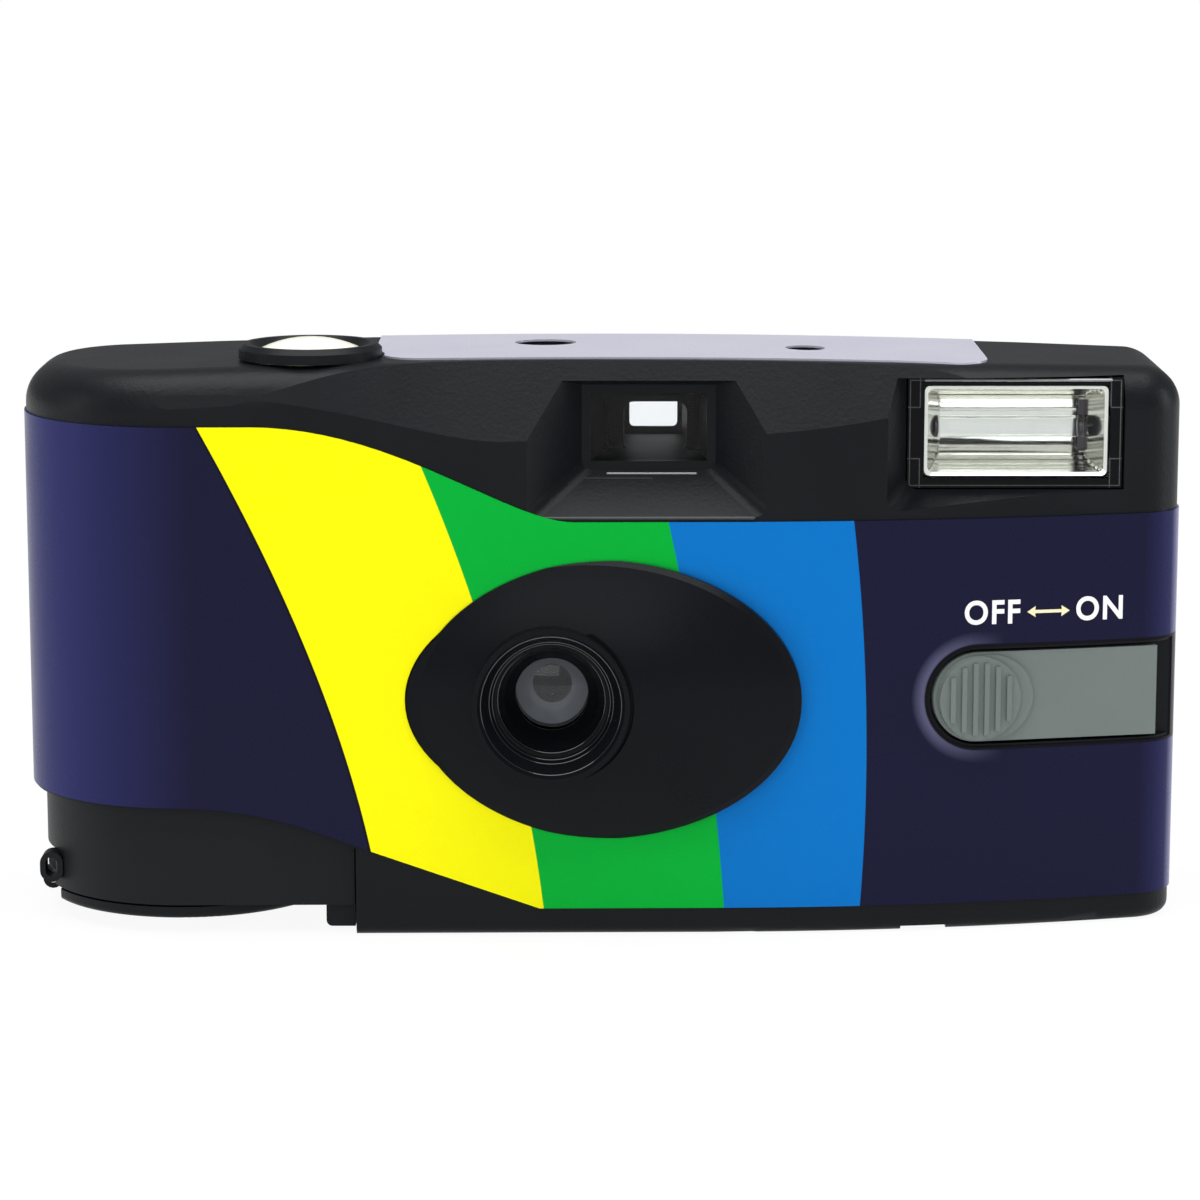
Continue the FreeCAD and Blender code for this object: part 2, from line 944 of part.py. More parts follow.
def battery_hinge_lugs():
    """Blocks inside the rear cover that hold the ends of the battery door's pin."""
    x0 = battery_hinge_x - battery_knuckle_radius
    x1 = battery_hinge_x + battery_knuckle_radius
    top = battery_hinge_z + battery_knuckle_radius
    front = box(x0, x1, battery_door_front_y - battery_lug_length, battery_door_front_y,
                battery_lug_bottom_z, top)
    rear = box(x0, x1, battery_door_rear_y, battery_door_rear_y + battery_lug_length,
               battery_lug_bottom_z, top)
    return [front, rear]


def oval_prism(half_x, half_z, x, z, y0, y1):
    ellipse = Part.Ellipse(V(0, 0, 0), half_x, half_z)
    face = Part.Face(Part.Wire([ellipse.toShape()]))
    shape = face.extrude(V(0, 0, y1 - y0))
    shape.rotate(V(0, 0, 0), V(1, 0, 0), -90)
    shape.translate(V(x, y0, z))
    return shape


def shell(pads):
    """The thin outer wall, with pads that stand out from its inner side."""
    return outer().cut(carved(inner_form.copy(), pads))


def round_hole_in_top(x, y, radius):
    return rod_z(x, y, body_height - wall - overrun, body_height + overrun, radius)


def counter_hole(margin):
    ellipse = Part.Ellipse(V(0, 0, 0), counter_window_half_width + margin, counter_window_half_depth + margin)
    face = Part.Face(Part.Wire([ellipse.toShape()]))
    hole = face.extrude(V(0, 0, wall + overrun + overrun))
    hole.translate(V(counter_window_x, counter_window_y, body_height - wall - overrun))
    return hole


def front_cover():
    pads = [
        recess(finder_inner, finder_outer, finder_window_y, finder_wall),
        recess(flash_inner, flash_outer, flash_window_y, flash_wall),
    ]
    floor_back = switch_floor + switch_floor_wall
    pads.append(switch_slot(switch_frame, -overrun, floor_back))
    shape = front_half(shell(pads))
    cutters = [
        recess_opening(finder_inner, finder_outer, finder_window_y),
        recess_opening(flash_inner, flash_outer, flash_window_y),
        through_window(finder_inner, finder_window_y - shaft_gap, 0, -finder_wall),
        through_window(flash_inner, flash_window_y - shaft_gap, 0, 0),
        switch_slot(0, -overrun, switch_floor),
        stem_slot(),
        panel_oval(0, -depth, 0),
        round_hole_in_top(button_x, button_y, button_hole_radius),
        corner_cutout(cutout_x),
        box(bottom_notch_left_x, bottom_notch_left_x + bottom_notch_width, -depth, 0,
            -overrun, bottom_notch_depth),
    ]
    return carved(shape, cutters)


def scoop():
    """The hollow behind the thumbwheel where the thumb reaches it."""
    floor_y = rear_y - scoop_depth
    points = [
        (floor_y, scoop_bottom_z + scoop_slope),
        (floor_y, scoop_top_z - scoop_top_slope),
        (rear_y + scoop_depth, scoop_top_z + scoop_top_slope),
        (rear_y + scoop_depth, scoop_bottom_z - scoop_slope),
    ]
    return prism_x(points, scoop_x - scoop_half_width, scoop_x + scoop_half_width)


def rear_cover():
    floor = scoop()
    pad = box(scoop_x - scoop_half_width - wall, scoop_x + scoop_half_width + wall,
              rear_y - scoop_depth - wall, rear_y, scoop_bottom_z - wall, body_height)
    eye = rounded_box(eye_x - eye_open_half_width, eye_x + eye_open_half_width, finder_rear_y - overrun,
                      rear_y + overrun, eye_open_bottom_z, eye_open_top_z, eye_open_round, V(0, 1, 0))
    bezel = frustum(
        [(eye_x - eye_open_half_width, eye_open_bottom_z), (eye_x + eye_open_half_width, eye_open_bottom_z),
         (eye_x + eye_open_half_width, eye_open_top_z), (eye_x - eye_open_half_width, eye_open_top_z)],
        rear_y - eye_bezel_depth,
        [(eye_x - eye_open_half_width - eye_bezel_margin, eye_open_bottom_z - eye_bezel_margin),
         (eye_x + eye_open_half_width + eye_bezel_margin, eye_open_bottom_z - eye_bezel_margin),
         (eye_x + eye_open_half_width + eye_bezel_margin, eye_open_top_z + eye_bezel_margin),
         (eye_x - eye_open_half_width - eye_bezel_margin, eye_open_top_z + eye_bezel_margin)],
        rear_y + shaft_gap)
    panel = rounded_box(rear_panel_left_x, rear_panel_right_x, rear_y - rear_panel_depth, rear_y + overrun,
                        rear_panel_bottom_z, rear_panel_top_z, rear_panel_corner, V(0, 1, 0))
    rails = []
    for edge_z in (film_bottom_z, film_bottom_z + film_width - pressure_rail_width):
        rails.append(box(pressure_rail_left_x, pressure_rail_right_x,
                         film_plane_y + film_thickness + rest_gap, rear_y - wall / 2,
                         edge_z, edge_z + pressure_rail_width))
    shape = rear_half(shell([pad] + rails + battery_hinge_lugs()))
    slot = ring_z(grip_x, grip_y, wheel_bottom_z - wheel_slot_gap,
                  wheel_bottom_z + wheel_thickness + wheel_slot_gap,
                  wheel_radius + wheel_slot_gap, wheel_dish_radius / 2)
    door = box(battery_door_left_x, battery_door_right_x, battery_door_front_y, battery_door_rear_y,
               -overrun, wall + overrun)
    cutters = [
        floor,
        slot,
        eye,
        bezel,
        panel,
        door,
        rod_y(battery_hinge_x, battery_hinge_z, 0, rear_y - wall, battery_pin_radius),
        counter_hole(0),
        round_hole_in_top(lamp_x, lamp_y, lamp_window_radius),
        round_hole_in_top(button_x, button_y, button_hole_radius),
        corner_cutout(rear_cutout_x),
    ]
    return carved(shape, cutters)


# Labels

def front_label():
    skin = body_form(-label_skin).cut(outer())
    outline = label_face().extrude(V(0, depth + label_wrap_y, 0))
    skin = skin.common(outline)
    margin = label_edge_gap
    cutters = [
        switch_slot(margin, -overrun, switch_floor),
        panel_oval(0, -depth, 0),
    ]
    return carved(skin, cutters)


def top_label():
    skin = body_form(-label_skin).cut(outer())
    outline = Part.Wire([
        bezier([
            V(top_label_tip_x, top_label_tip_y, 0),
            V(top_label_tip_x, top_label_front_y, 0),
            V(top_label_left_x, top_label_front_y, 0),
            V(top_label_left_x + top_label_corner, top_label_front_y, 0),
        ]),
        line(V(top_label_left_x + top_label_corner, top_label_front_y, 0),
             V(top_label_right_x - top_label_corner, top_label_front_y, 0)),
        bezier([
            V(top_label_right_x - top_label_corner, top_label_front_y, 0),
            V(top_label_right_x, top_label_front_y, 0),
            V(top_label_right_x, top_label_front_y + top_label_corner, 0),
        ]),
        line(V(top_label_right_x, top_label_front_y + top_label_corner, 0),
             V(top_label_right_x, top_label_rear_y, 0)),
        line(V(top_label_right_x, top_label_rear_y, 0), V(top_label_tip_x, top_label_rear_y, 0)),
        line(V(top_label_tip_x, top_label_rear_y, 0), V(top_label_tip_x, top_label_tip_y, 0)),
    ])
    column = Part.Face(outline).extrude(V(0, 0, overrun))
    column.translate(V(0, 0, body_height - overrun / 2))
    skin = skin.common(column)
    skin = skin.cut(counter_hole(0))
    skin = skin.cut(round_hole_in_top(lamp_x, lamp_y, lamp_window_radius))
    return skin.cut(round_hole_in_top(button_x, button_y, collar_radius + label_edge_gap))


# Lens panel and optics

def panel_dome():
    """The oval dome with its skirt, turned to lie along the curved front."""
    half = panel_half_height - panel_rim_round
    radius = (half ** 2 + panel_rise ** 2) / (2 * panel_rise)
    middle = half * math.sqrt(1 / 2)
    middle_y = -panel_rise + radius - math.sqrt(radius ** 2 - middle ** 2)
    wire = Part.Wire([
        Part.Arc(V(0, -panel_rise, 0), V(middle, middle_y, 0), V(half, 0, 0)).toShape(),
        line(V(half, 0, 0), V(panel_half_height, panel_rim_round, 0)),
        line(V(panel_half_height, panel_rim_round, 0), V(panel_half_height, panel_skirt, 0)),
        line(V(panel_half_height, panel_skirt, 0), V(0, panel_skirt, 0)),
        line(V(0, panel_skirt, 0), V(0, -panel_rise, 0)),
    ])
    dome = Part.Face(wire).revolve(V(0, 0, 0), V(0, 1, 0), 360)
    matrix = FreeCAD.Matrix()
    matrix.scale(panel_half_width / panel_half_height, 1, 1)
    dome = dome.transformGeometry(matrix)
    left_y = front_surface_y(panel_x - panel_half_width)
    right_y = front_surface_y(panel_x + panel_half_width)
    dome.rotate(V(0, 0, 0), V(0, 0, 1), math.degrees(math.atan2(right_y - left_y, panel_half_width * 2)))
    dome.translate(V(panel_x, panel_rim_y, panel_z))
    return dome


def funnel_space():
    return turned_y([
        (0, -depth),
        (funnel_mouth_radius, -depth),
        (funnel_mouth_radius, -rear_y),
        (funnel_step_radius, funnel_step_y),
        (funnel_step_radius - funnel_step_width, funnel_step_y),
        (funnel_step_radius - funnel_step_width, funnel_step_y + funnel_step_drop),
        (funnel_inner_radius, funnel_inner_y),
        (lens_opening_radius, funnel_floor_y),
        (lens_opening_radius, 0),
        (0, 0),
    ], lens_x, lens_z)


def panel_oval(margin, y0, y1):
    half_x = panel_half_width - panel_lip - margin
    half_z = panel_half_height - panel_lip - margin
    return oval_prism(half_x, half_z, panel_x, panel_z, y0, y1)


def lens_panel():
    apex_y = -rear_y
    dome = panel_dome().cut(body_form(-label_skin - fit_gap))
    plug = panel_oval(fit_gap, panel_hollow_y - rest_gap, panel_plug_end_y)
    hollow = panel_oval(fit_gap + panel_wall, panel_hollow_y, 0)
    boss = rod_y(lens_x, lens_z, panel_hollow_y - rest_gap, boss_end_y, boss_radius)
    groove = ring_y(lens_x, lens_z, -depth, apex_y + funnel_groove_reach,
                    funnel_groove_radius, funnel_lip_radius - funnel_groove_width)
    lip = rod_y(lens_x, lens_z, apex_y, panel_rim_y, funnel_lip_radius)
    seat = rod_y(lens_x, lens_z, lens_front_y, 0, lens_radius + fit_gap)
    shape = joined([dome, plug]).cut(hollow)
    shape = joined([shape, boss]).cut(groove)
    return carved(joined([shape, lip]), [funnel_space(), seat])


def taking_lens():
    edge_y = lens_front_y + lens_bulge_front
    radius = (lens_opening_radius ** 2 + lens_bulge_front ** 2) / (2 * lens_bulge_front)
    middle = lens_opening_radius / 2
    middle_y = lens_front_y + radius - math.sqrt(radius ** 2 - middle ** 2)
    back_y = edge_y + lens_edge_thickness
    clear = lens_opening_radius
    wire = Part.Wire([
        Part.Arc(V(0, lens_front_y, 0), V(middle, middle_y, 0), V(clear, edge_y, 0)).toShape(),
        line(V(clear, edge_y, 0), V(lens_radius, edge_y, 0)),
        line(V(lens_radius, edge_y, 0), V(lens_radius, back_y, 0)),
        line(V(lens_radius, back_y, 0), V(0, back_y, 0)),
        line(V(0, back_y, 0), V(0, lens_front_y, 0)),
    ])
    shape = Part.Face(wire).revolve(V(0, 0, 0), V(0, 1, 0), 360)
    shape.translate(V(lens_x, 0, lens_z))
    return shape


lens_back_y = lens_front_y + lens_bulge_front + lens_edge_thickness
plate_back_y = plate_y + plate_thickness
front_plate_back_y = front_plate_y + front_plate_thickness


def lens_retainer():
    shape = ring_y(lens_x, lens_z, lens_back_y, plate_y, retainer_radius, retainer_bore)
    mouth = turned_y([
        (0, lens_back_y),
        (lens_opening_radius, lens_back_y),
        (retainer_bore, lens_back_y + retainer_thickness / 2),
        (0, lens_back_y + retainer_thickness / 2),
    ], lens_x, lens_z)
    return shape.cut(mouth)


def aperture_plate():
    shape = box(plate_left_x, plate_right_x, plate_y, plate_back_y, plate_bottom_z, plate_top_z)
    cone = turned_y([
        (0, plate_y - overrun),
        (retainer_bore, plate_y - overrun),
        (retainer_bore, plate_y),
        (aperture_radius, plate_back_y),
        (aperture_radius, plate_back_y + overrun),
        (0, plate_back_y + overrun),
    ], lens_x, lens_z)
    shape = shape.cut(cone)
    pivot_hole = rod_y(blade_pivot_x, blade_pivot_z, plate_y - overrun, plate_back_y + overrun,
                       pivot_radius + fit_gap)
    reach = (plate_right_x - plate_left_x) / 2 - pivot_radius * 2
    pins = []
    middle_x = (plate_left_x + plate_right_x) / 2
    for side in (-1, 1):
        pins.append(rod_y(middle_x + side * reach, plate_bottom_z + pivot_radius * 2,
                          plate_y - pivot_radius, front_plate_y, pivot_radius))
    return joined([shape.cut(pivot_hole)] + pins)


def bar_y(x0, z0, x1, z1, y0, y1, size):
    """A flat bar standing upright between two points, with a round end."""
    length = math.hypot(x1 - x0, z1 - z0)
    bar = Part.makeBox(length, y1 - y0, size, V(0, 0, -size / 2))
    bar.rotate(V(0, 0, 0), V(0, 1, 0), -math.degrees(math.atan2(z1 - z0, x1 - x0)))
    bar.translate(V(x0, y0, z0))
    return joined([bar, rod_y(x1, z1, y0, y1, size / 2)])


def shutter_blade():
    back = blade_y + blade_thickness
    tail_top = blade_pivot_z + blade_tail_length
    shape = joined([
        rod_y(blade_pivot_x, blade_pivot_z, blade_y, back, blade_hub_radius),
        rod_y(lens_x, lens_z, blade_y, back, blade_disc_radius),
        bar_y(blade_pivot_x, blade_pivot_z, lens_x, lens_z, blade_y, back, blade_arm_width),
        bar_y(blade_pivot_x, blade_pivot_z, blade_pivot_x, tail_top, blade_y, back, blade_tail_width),
    ])
    return shape.cut(rod_y(blade_pivot_x, blade_pivot_z, blade_y - overrun, back + overrun,
                           blade_pivot_radius + shaft_gap))


def blade_spring():
    y0 = plate_y - rest_gap - blade_spring_stand
    y1 = plate_y - rest_gap
    leg = box(blade_pivot_x + blade_spring_radius - spring_leg, blade_pivot_x + blade_spring_radius,
              y0, y0 + spring_leg, blade_pivot_z - spring_leg_length, blade_pivot_z)
    coil = ring_y(blade_pivot_x, blade_pivot_z, y0, y1, blade_spring_radius,
                  blade_spring_radius - blade_spring_wall)
    return joined([coil, leg])


# Chassis

def skirt():
    """The wall below the label, from the chamber's rear round to the covers' cut edge."""
    inset = grip_radius - chamber_skirt_radius
    front = body_form(inset).cut(body_form(inset + chamber_wall))
    front = front.common(box(-width, cutout_x - foot_gap, -depth, grip_y, chamber_bottom_z, body_height / 2))
    rear = ring_z(grip_x, grip_y, chamber_bottom_z, chamber_open_z, chamber_skirt_radius,
                  chamber_skirt_radius - chamber_wall)
    rear = rear.common(box(-width, width, grip_y, depth, 0, width))
    slot = box(grip_x, width, film_slot_front_y, depth, film_bottom_z - film_slot_margin, width)
    flat_back = box(-width, width, rear_y, depth, -depth, width)
    whole = joined([front, rear]).common(corner_region(label_edge_gap + shaft_gap))
    return carved(whole, [slot, flat_back])


def under_scoop():
    """The room that the rear cover's thumb scoop needs."""
    return box(-width, scoop_x + scoop_half_width + wall + rest_gap, rear_y - scoop_depth - wall - rest_gap,
               depth, scoop_bottom_z - wall - rest_gap, width)


def chamber():
    low = chamber_bottom_z
    radius = chamber_radius + chamber_wall
    tube = ring_z(grip_x, grip_y, low, deck_z + shaft_gap, radius, chamber_radius)
    open_back = box(grip_x - radius - overrun, grip_x + radius + overrun, chamber_open_y, depth,
                    chamber_open_z, deck_z - shaft_gap)
    slot = box(grip_x + radius - film_slot_reach, grip_x + radius + overrun, film_slot_front_y, depth,
               film_bottom_z - film_slot_margin, chamber_open_z + overrun)
    flat_back = box(-width, width, rear_y, depth, -depth, width)
    behind = box(-width, width, rear_y - wall - rest_gap, depth, chamber_bottom_z, width)
    behind = behind.cut(corner_region(label_edge_gap + shaft_gap))
    roof = rod_z(grip_x, grip_y, deck_z, deck_top_z, radius)
    bore = rod_z(grip_x, grip_y, deck_z - overrun, deck_top_z + overrun, wheel_shaft_radius + shaft_gap)
    walls = carved(tube, [open_back, slot, flat_back, behind, under_scoop()])
    return joined([walls, carved(roof, [under_scoop(), bore])])


def foot():
    shape = box(foot_left_x, cutout_x - foot_gap, foot_front_y, foot_front_y + foot_length,
                foot_bottom_z, foot_bottom_z + foot_height)
    corner = [e for e in shape.Edges
              if e.BoundBox.XMax < foot_left_x + shaft_gap and e.BoundBox.ZMax < foot_bottom_z + shaft_gap]
    return shape.makeFillet(foot_round, corner)


def hinge_lugs():
    lugs = []
    for side in (-1, 1):
        near = grip_y + side * (door_knuckle_length / 2 + door_lug_gap)
        far = near + side * door_lug_length
        y0 = min(near, far)
        y1 = max(near, far)
        lugs.append(rod_y(door_hinge_x, door_hinge_z, y0, y1, door_knuckle_radius))
        lugs.append(box(door_hinge_x - door_knuckle_radius, door_hinge_x + door_knuckle_radius,
                        y0, y1, door_hinge_z, door_hinge_z + door_knuckle_radius))
    return lugs


def eyelet_form(radius):
    """A straight-sided oval along the depth."""
    y0 = eyelet_y - eyelet_width / 2
    y1 = eyelet_y + eyelet_width / 2
    ends = [rod_y(eyelet_x, eyelet_z + side * eyelet_rise, y0, y1, radius) for side in (-1, 1)]
    middle = box(eyelet_x - radius, eyelet_x + radius, y0, y1, eyelet_z - eyelet_rise, eyelet_z + eyelet_rise)
    return joined(ends + [middle])


def with_eyelet(shape):
    """Clear a notch in the skirt and set the strap eyelet into it."""
    notch = box(-width, eyelet_relief_x, -depth, depth, eyelet_relief_bottom_z,
                eyelet_relief_bottom_z + eyelet_relief_height)
    notch = notch.cut(rod_z(grip_x, grip_y, 0, width, chamber_skirt_radius - eyelet_relief_depth))
    eye = eyelet_form(eyelet_radius)
    hole = eyelet_form(eyelet_hole_radius).cut(rod_z(grip_x, grip_y, 0, width, chamber_skirt_radius))
    knuckle_space = rod_y(door_hinge_x, door_hinge_z, grip_y - door_knuckle_length / 2 - door_lug_gap,
                          grip_y + door_knuckle_length / 2 + door_lug_gap, door_knuckle_radius + door_gap)
    shape = shape.cut(notch)
    return carved(joined([shape, eye]), [hole, knuckle_space])


supply_radius = roll_radius + supply_clearance


def supply_chamber():
    radius = supply_radius
    low = base_z + base_thickness
    tube = ring_z(supply_x, supply_y, base_z, deck_top_z, radius + supply_wall, radius)
    open_back = box(supply_x - radius * 2, supply_x + radius * 2, supply_open_y, depth, low, deck_z)
    gap = box(-width, supply_x, supply_y, depth, low, deck_z)
    floor = rod_z(supply_x, supply_y, base_z, low, radius + supply_wall / 2)
    back = box(-width, width, rear_y - wall, depth, 0, width)
    return joined([tube.cut(open_back).cut(gap), floor]).cut(back)


def chassis():
    radius = chamber_radius + chamber_wall
    gate = box(gate_left_x, gate_right_x, gate_front_y, gate_front_y + gate_thickness,
               gate_bottom_z, gate_top_z)
    gate_hole = box(lens_x - frame_width / 2, lens_x + frame_width / 2, gate_front_y - overrun,
                    gate_front_y + overrun, lens_z - frame_height / 2, lens_z + frame_height / 2)
    deck = box(deck_left_x, deck_right_x, deck_front_y, deck_rear_y, deck_z, deck_top_z)
    base = box(end_wall_x, deck_right_x, front_plate_y, deck_rear_y, base_z, base_z + base_thickness)
    post = box(gate_left_x + chamber_wall, foot_left_x + link_length, gate_front_y - overrun * 2,
               gate_front_y + gate_thickness, base_z, gate_bottom_z + overrun)
    plate = box(front_plate_left_x, front_plate_right_x, front_plate_y, front_plate_back_y,
                front_plate_bottom_z, front_plate_top_z)
    neck = box(front_plate_left_x - neck_width, front_plate_left_x + chamber_wall / 2, front_plate_y,
               front_plate_back_y, base_z, deck_z)
    heel = box(front_plate_left_x, front_plate_right_x, front_plate_y, front_plate_back_y,
               base_z, front_plate_bottom_z)
    brace = box(grip_x + radius - chamber_wall, foot_left_x + link_length / 2, foot_front_y + foot_length / 2,
                film_slot_front_y - overrun, base_z + base_thickness, foot_bottom_z + link_length)
    bridge = box(grip_x + radius - chamber_wall, deck_left_x + link_length, -overrun, overrun,
                 deck_z, deck_top_z)
    end_wall = box(end_wall_x, end_wall_x + chamber_wall, front_plate_y, rear_y - wall - rest_gap,
                   base_z, end_wall_top_z)
    film_notch = box(end_wall_x - overrun, end_wall_x + overrun, film_plane_y - film_slot_margin, depth,
                     film_bottom_z - film_slot_margin, end_wall_top_z + overrun)
    end_wall = end_wall.cut(film_notch)
    front_wall = box(cutout_x + foot_gap, cutout_x + foot_gap + chamber_wall, front_y + wall + rest_gap,
                     front_plate_y + overrun, base_z, end_wall_top_z)
    wall_foot = box(foot_left_x + foot_gap, cutout_x + foot_gap + chamber_wall,
                    foot_front_y + foot_length / 2, front_plate_y + overrun, base_z, link_length)
    frame = joined([gate, deck, base, post, plate, neck, heel, foot(), brace, bridge, end_wall, front_wall,
                    wall_foot])
    clear_of_rooms = [
        rod_z(grip_x, grip_y, base_z - overrun, deck_z, chamber_radius + chamber_wall / 2),
        rod_z(supply_x, supply_y, base_z + base_thickness, deck_z, supply_radius + supply_wall / 2),
    ]
    room = joined([chamber()] + hinge_lugs())
    shape = joined([carved(frame, clear_of_rooms), room, supply_chamber()])
    shape = with_eyelet(joined([shape, skirt()]))
    finder_gap = box(finder_x - finder_window_half_width - finder_wall * 2,
                     finder_x + finder_window_half_width + finder_wall * 2,
                     -depth, depth, deck_z - overrun, deck_top_z + overrun)
    flash_gap = box(flash_left_x - flash_wall - rest_gap * 2, deck_right_x + overrun, -depth,
                    reflector_front_y + reflector_depth + rest_gap, reflector_bottom_z - rest_gap,
                    deck_top_z + overrun)
    light = turned_y([
        (0, front_plate_y - overrun),
        (blade_disc_radius, front_plate_y - overrun),
        (blade_disc_radius, front_plate_back_y + overrun),
        (0, front_plate_back_y + overrun),
    ], lens_x, lens_z)
    sprocket_space = rod_z(sprocket_x, sprocket_y, sprocket_bottom_z - rest_gap, gate_top_z + overrun / 2,
                           sprocket_radius + rest_gap)
    pin_hole = rod_y(door_hinge_x, door_hinge_z, -depth, depth, door_pin_radius + shaft_gap)
    door_space = box(door_hinge_x + door_knuckle_radius + door_gap, door_end_x + door_gap, -depth, depth,
                     0, chamber_bottom_z)
    bores = [
        rod_z(sprocket_x, sprocket_y, deck_z - overrun, deck_top_z + overrun,
              sprocket_shaft_radius + shaft_gap),
        rod_z(supply_x, supply_y, base_z - overrun, base_z + overrun, supply_pin_radius + shaft_gap),
        rod_z(supply_x, supply_y, deck_z - overrun, deck_top_z + overrun, supply_pin_radius + shaft_gap),
    ]
    striker_slot = box(striker_nose_x - striker_slot_left, striker_nose_x + striker_slot_right,
                       deck_front_y - overrun, striker_nose_y + striker_slot_rear,
                       striker_finger_end_z - striker_slot_drop, deck_top_z + overrun)
    cutters = [gate_hole, finder_gap, flash_gap, light, sprocket_space, pin_hole, door_space, striker_slot,
               under_scoop()]
    shape = carved(shape, cutters + bores)
    pivots = [
        rod_z(metering_x, metering_y, deck_top_z - shaft_gap, deck_top_z + pivot_height, pivot_radius),
        rod_z(striker_x, striker_y, deck_top_z - shaft_gap, deck_top_z + pivot_height, pivot_radius),
        rod_z(counter_x, counter_y, deck_top_z - shaft_gap, counter_z + counter_thickness,
              counter_pin_radius),
        rod_y(blade_pivot_x, blade_pivot_z, plate_y - rest_gap - blade_spring_stand,
              front_plate_y + shaft_gap, blade_pivot_radius),
    ]
    return joined([shape] + pivots)


def light_cone():
    """The four-sided dark funnel between the lens plate and the film gate."""
    back = [
        (lens_x - frame_width / 2 - cone_margin, lens_z - frame_height / 2 - cone_margin),
        (lens_x + frame_width / 2 + cone_margin, lens_z - frame_height / 2 - cone_margin),
        (lens_x + frame_width / 2 + cone_margin, lens_z + frame_height / 2 + cone_margin),
        (lens_x - frame_width / 2 - cone_margin, lens_z + frame_height / 2 + cone_margin),
    ]
    front = [
        (lens_x - cone_front_half, lens_z - cone_front_half),
        (lens_x + cone_front_half, lens_z - cone_front_half),
        (lens_x + cone_front_half, lens_z + cone_front_half),
        (lens_x - cone_front_half, lens_z + cone_front_half),
    ]
    shape = frustum(front, front_plate_back_y, back, gate_front_y)
    inner = frustum(grown(front, -cone_wall), front_plate_back_y - shaft_gap, grown(back, -cone_wall),
                    gate_front_y + shaft_gap)
    sprocket_room = rod_z(sprocket_x, sprocket_y, sprocket_bottom_z - rest_gap, gate_top_z,
                          sprocket_radius + rest_gap)
    return carved(shape, [inner, sprocket_room])


# Doors

def film_door():
    top = chamber_bottom_z - door_gap
    bottom = top - door_thickness
    left = door_hinge_x + door_knuckle_radius + door_gap
    plate = rod_z(grip_x, grip_y, bottom, top, chamber_skirt_radius)
    low = [e for e in plate.Edges if e.BoundBox.ZMax < bottom + shaft_gap]
    plate = plate.makeFillet(door_thickness / 2, low)
    plate = plate.common(box(left, door_end_x, -depth, rear_y, 0, top))
    half = door_knuckle_length / 2
    knuckle = rod_y(door_hinge_x, door_hinge_z, grip_y - half, grip_y + half, door_knuckle_radius)
    web = box(door_hinge_x, left + door_gap, grip_y - half, grip_y + half,
              door_hinge_z - door_knuckle_radius, top)
    pin_hole = rod_y(door_hinge_x, door_hinge_z, -depth, depth, door_pin_radius + shaft_gap)
    return joined([plate, knuckle, web]).cut(pin_hole)


def film_door_pin():
    half = door_knuckle_length / 2 + door_lug_gap + door_lug_length
    return rod_y(door_hinge_x, door_hinge_z, grip_y - half, grip_y + half, door_pin_radius)


def battery_door():
    bottom = battery_door_recess
    top = bottom + battery_door_thickness
    plate = box(battery_hinge_x, battery_door_right_x - fit_gap, battery_door_front_y + fit_gap,
                battery_door_rear_y - fit_gap, bottom, top)
    knuckle = rod_y(battery_hinge_x, battery_hinge_z, battery_door_front_y + rest_gap,
                    battery_door_rear_y - rest_gap, battery_knuckle_radius)
    pin_hole = rod_y(battery_hinge_x, battery_hinge_z, -depth, depth, battery_pin_radius + shaft_gap)
    return joined([plate, knuckle]).cut(pin_hole)


def battery_door_pin():
    return rod_y(battery_hinge_x, battery_hinge_z, battery_door_front_y - battery_lug_length,
                 battery_door_rear_y + battery_lug_length, battery_pin_radius)


# Button and release levers

def button_collar():
    top = collar_seat_z + collar_height
    shape = turned_z([
        (collar_bore, collar_seat_z),
        (collar_radius, collar_seat_z),
        (collar_radius, top - collar_round),
        (collar_radius - collar_round, top),
        (collar_bore + collar_round, top),
        (collar_bore, top - collar_round),
    ], button_x, button_y)
    return shape.cut(outer())


def shutter_button():
    flange_top = button_flange_bottom_z + button_flange_thickness
    dome_radius = (button_radius ** 2 + button_dome_height ** 2) / (2 * button_dome_height)
    middle = button_radius / 2
    middle_z = button_skirt_z + button_dome_height - dome_radius + math.sqrt(dome_radius ** 2 - middle ** 2)
    top_z = button_skirt_z + button_dome_height
    wire = Part.Wire([
        line(V(0, 0, button_flange_bottom_z), V(button_flange_radius, 0, button_flange_bottom_z)),
        line(V(button_flange_radius, 0, button_flange_bottom_z), V(button_flange_radius, 0, flange_top)),
        line(V(button_flange_radius, 0, flange_top), V(button_radius, 0, flange_top)),
        line(V(button_radius, 0, flange_top), V(button_radius, 0, button_skirt_z)),
        Part.Arc(V(button_radius, 0, button_skirt_z), V(middle, 0, middle_z), V(0, 0, top_z)).toShape(),
        line(V(0, 0, top_z), V(0, 0, button_flange_bottom_z)),
    ])
    cap = Part.Face(wire).revolve(V(0, 0, 0), V(0, 0, 1), 360)
    cap.translate(V(button_x, button_y, 0))
    stem = turned_z([
        (0, stem_end_z),
        (stem_tip_radius, stem_end_z),
        (stem_radius, stem_end_z + stem_tip_length),
        (stem_radius, button_flange_bottom_z + shaft_gap),
        (0, button_flange_bottom_z + shaft_gap),
    ], stem_x, stem_y)
    return joined([cap, stem])


lever_z = deck_top_z + lever_gap
lever_top_z = lever_z + lever_thickness


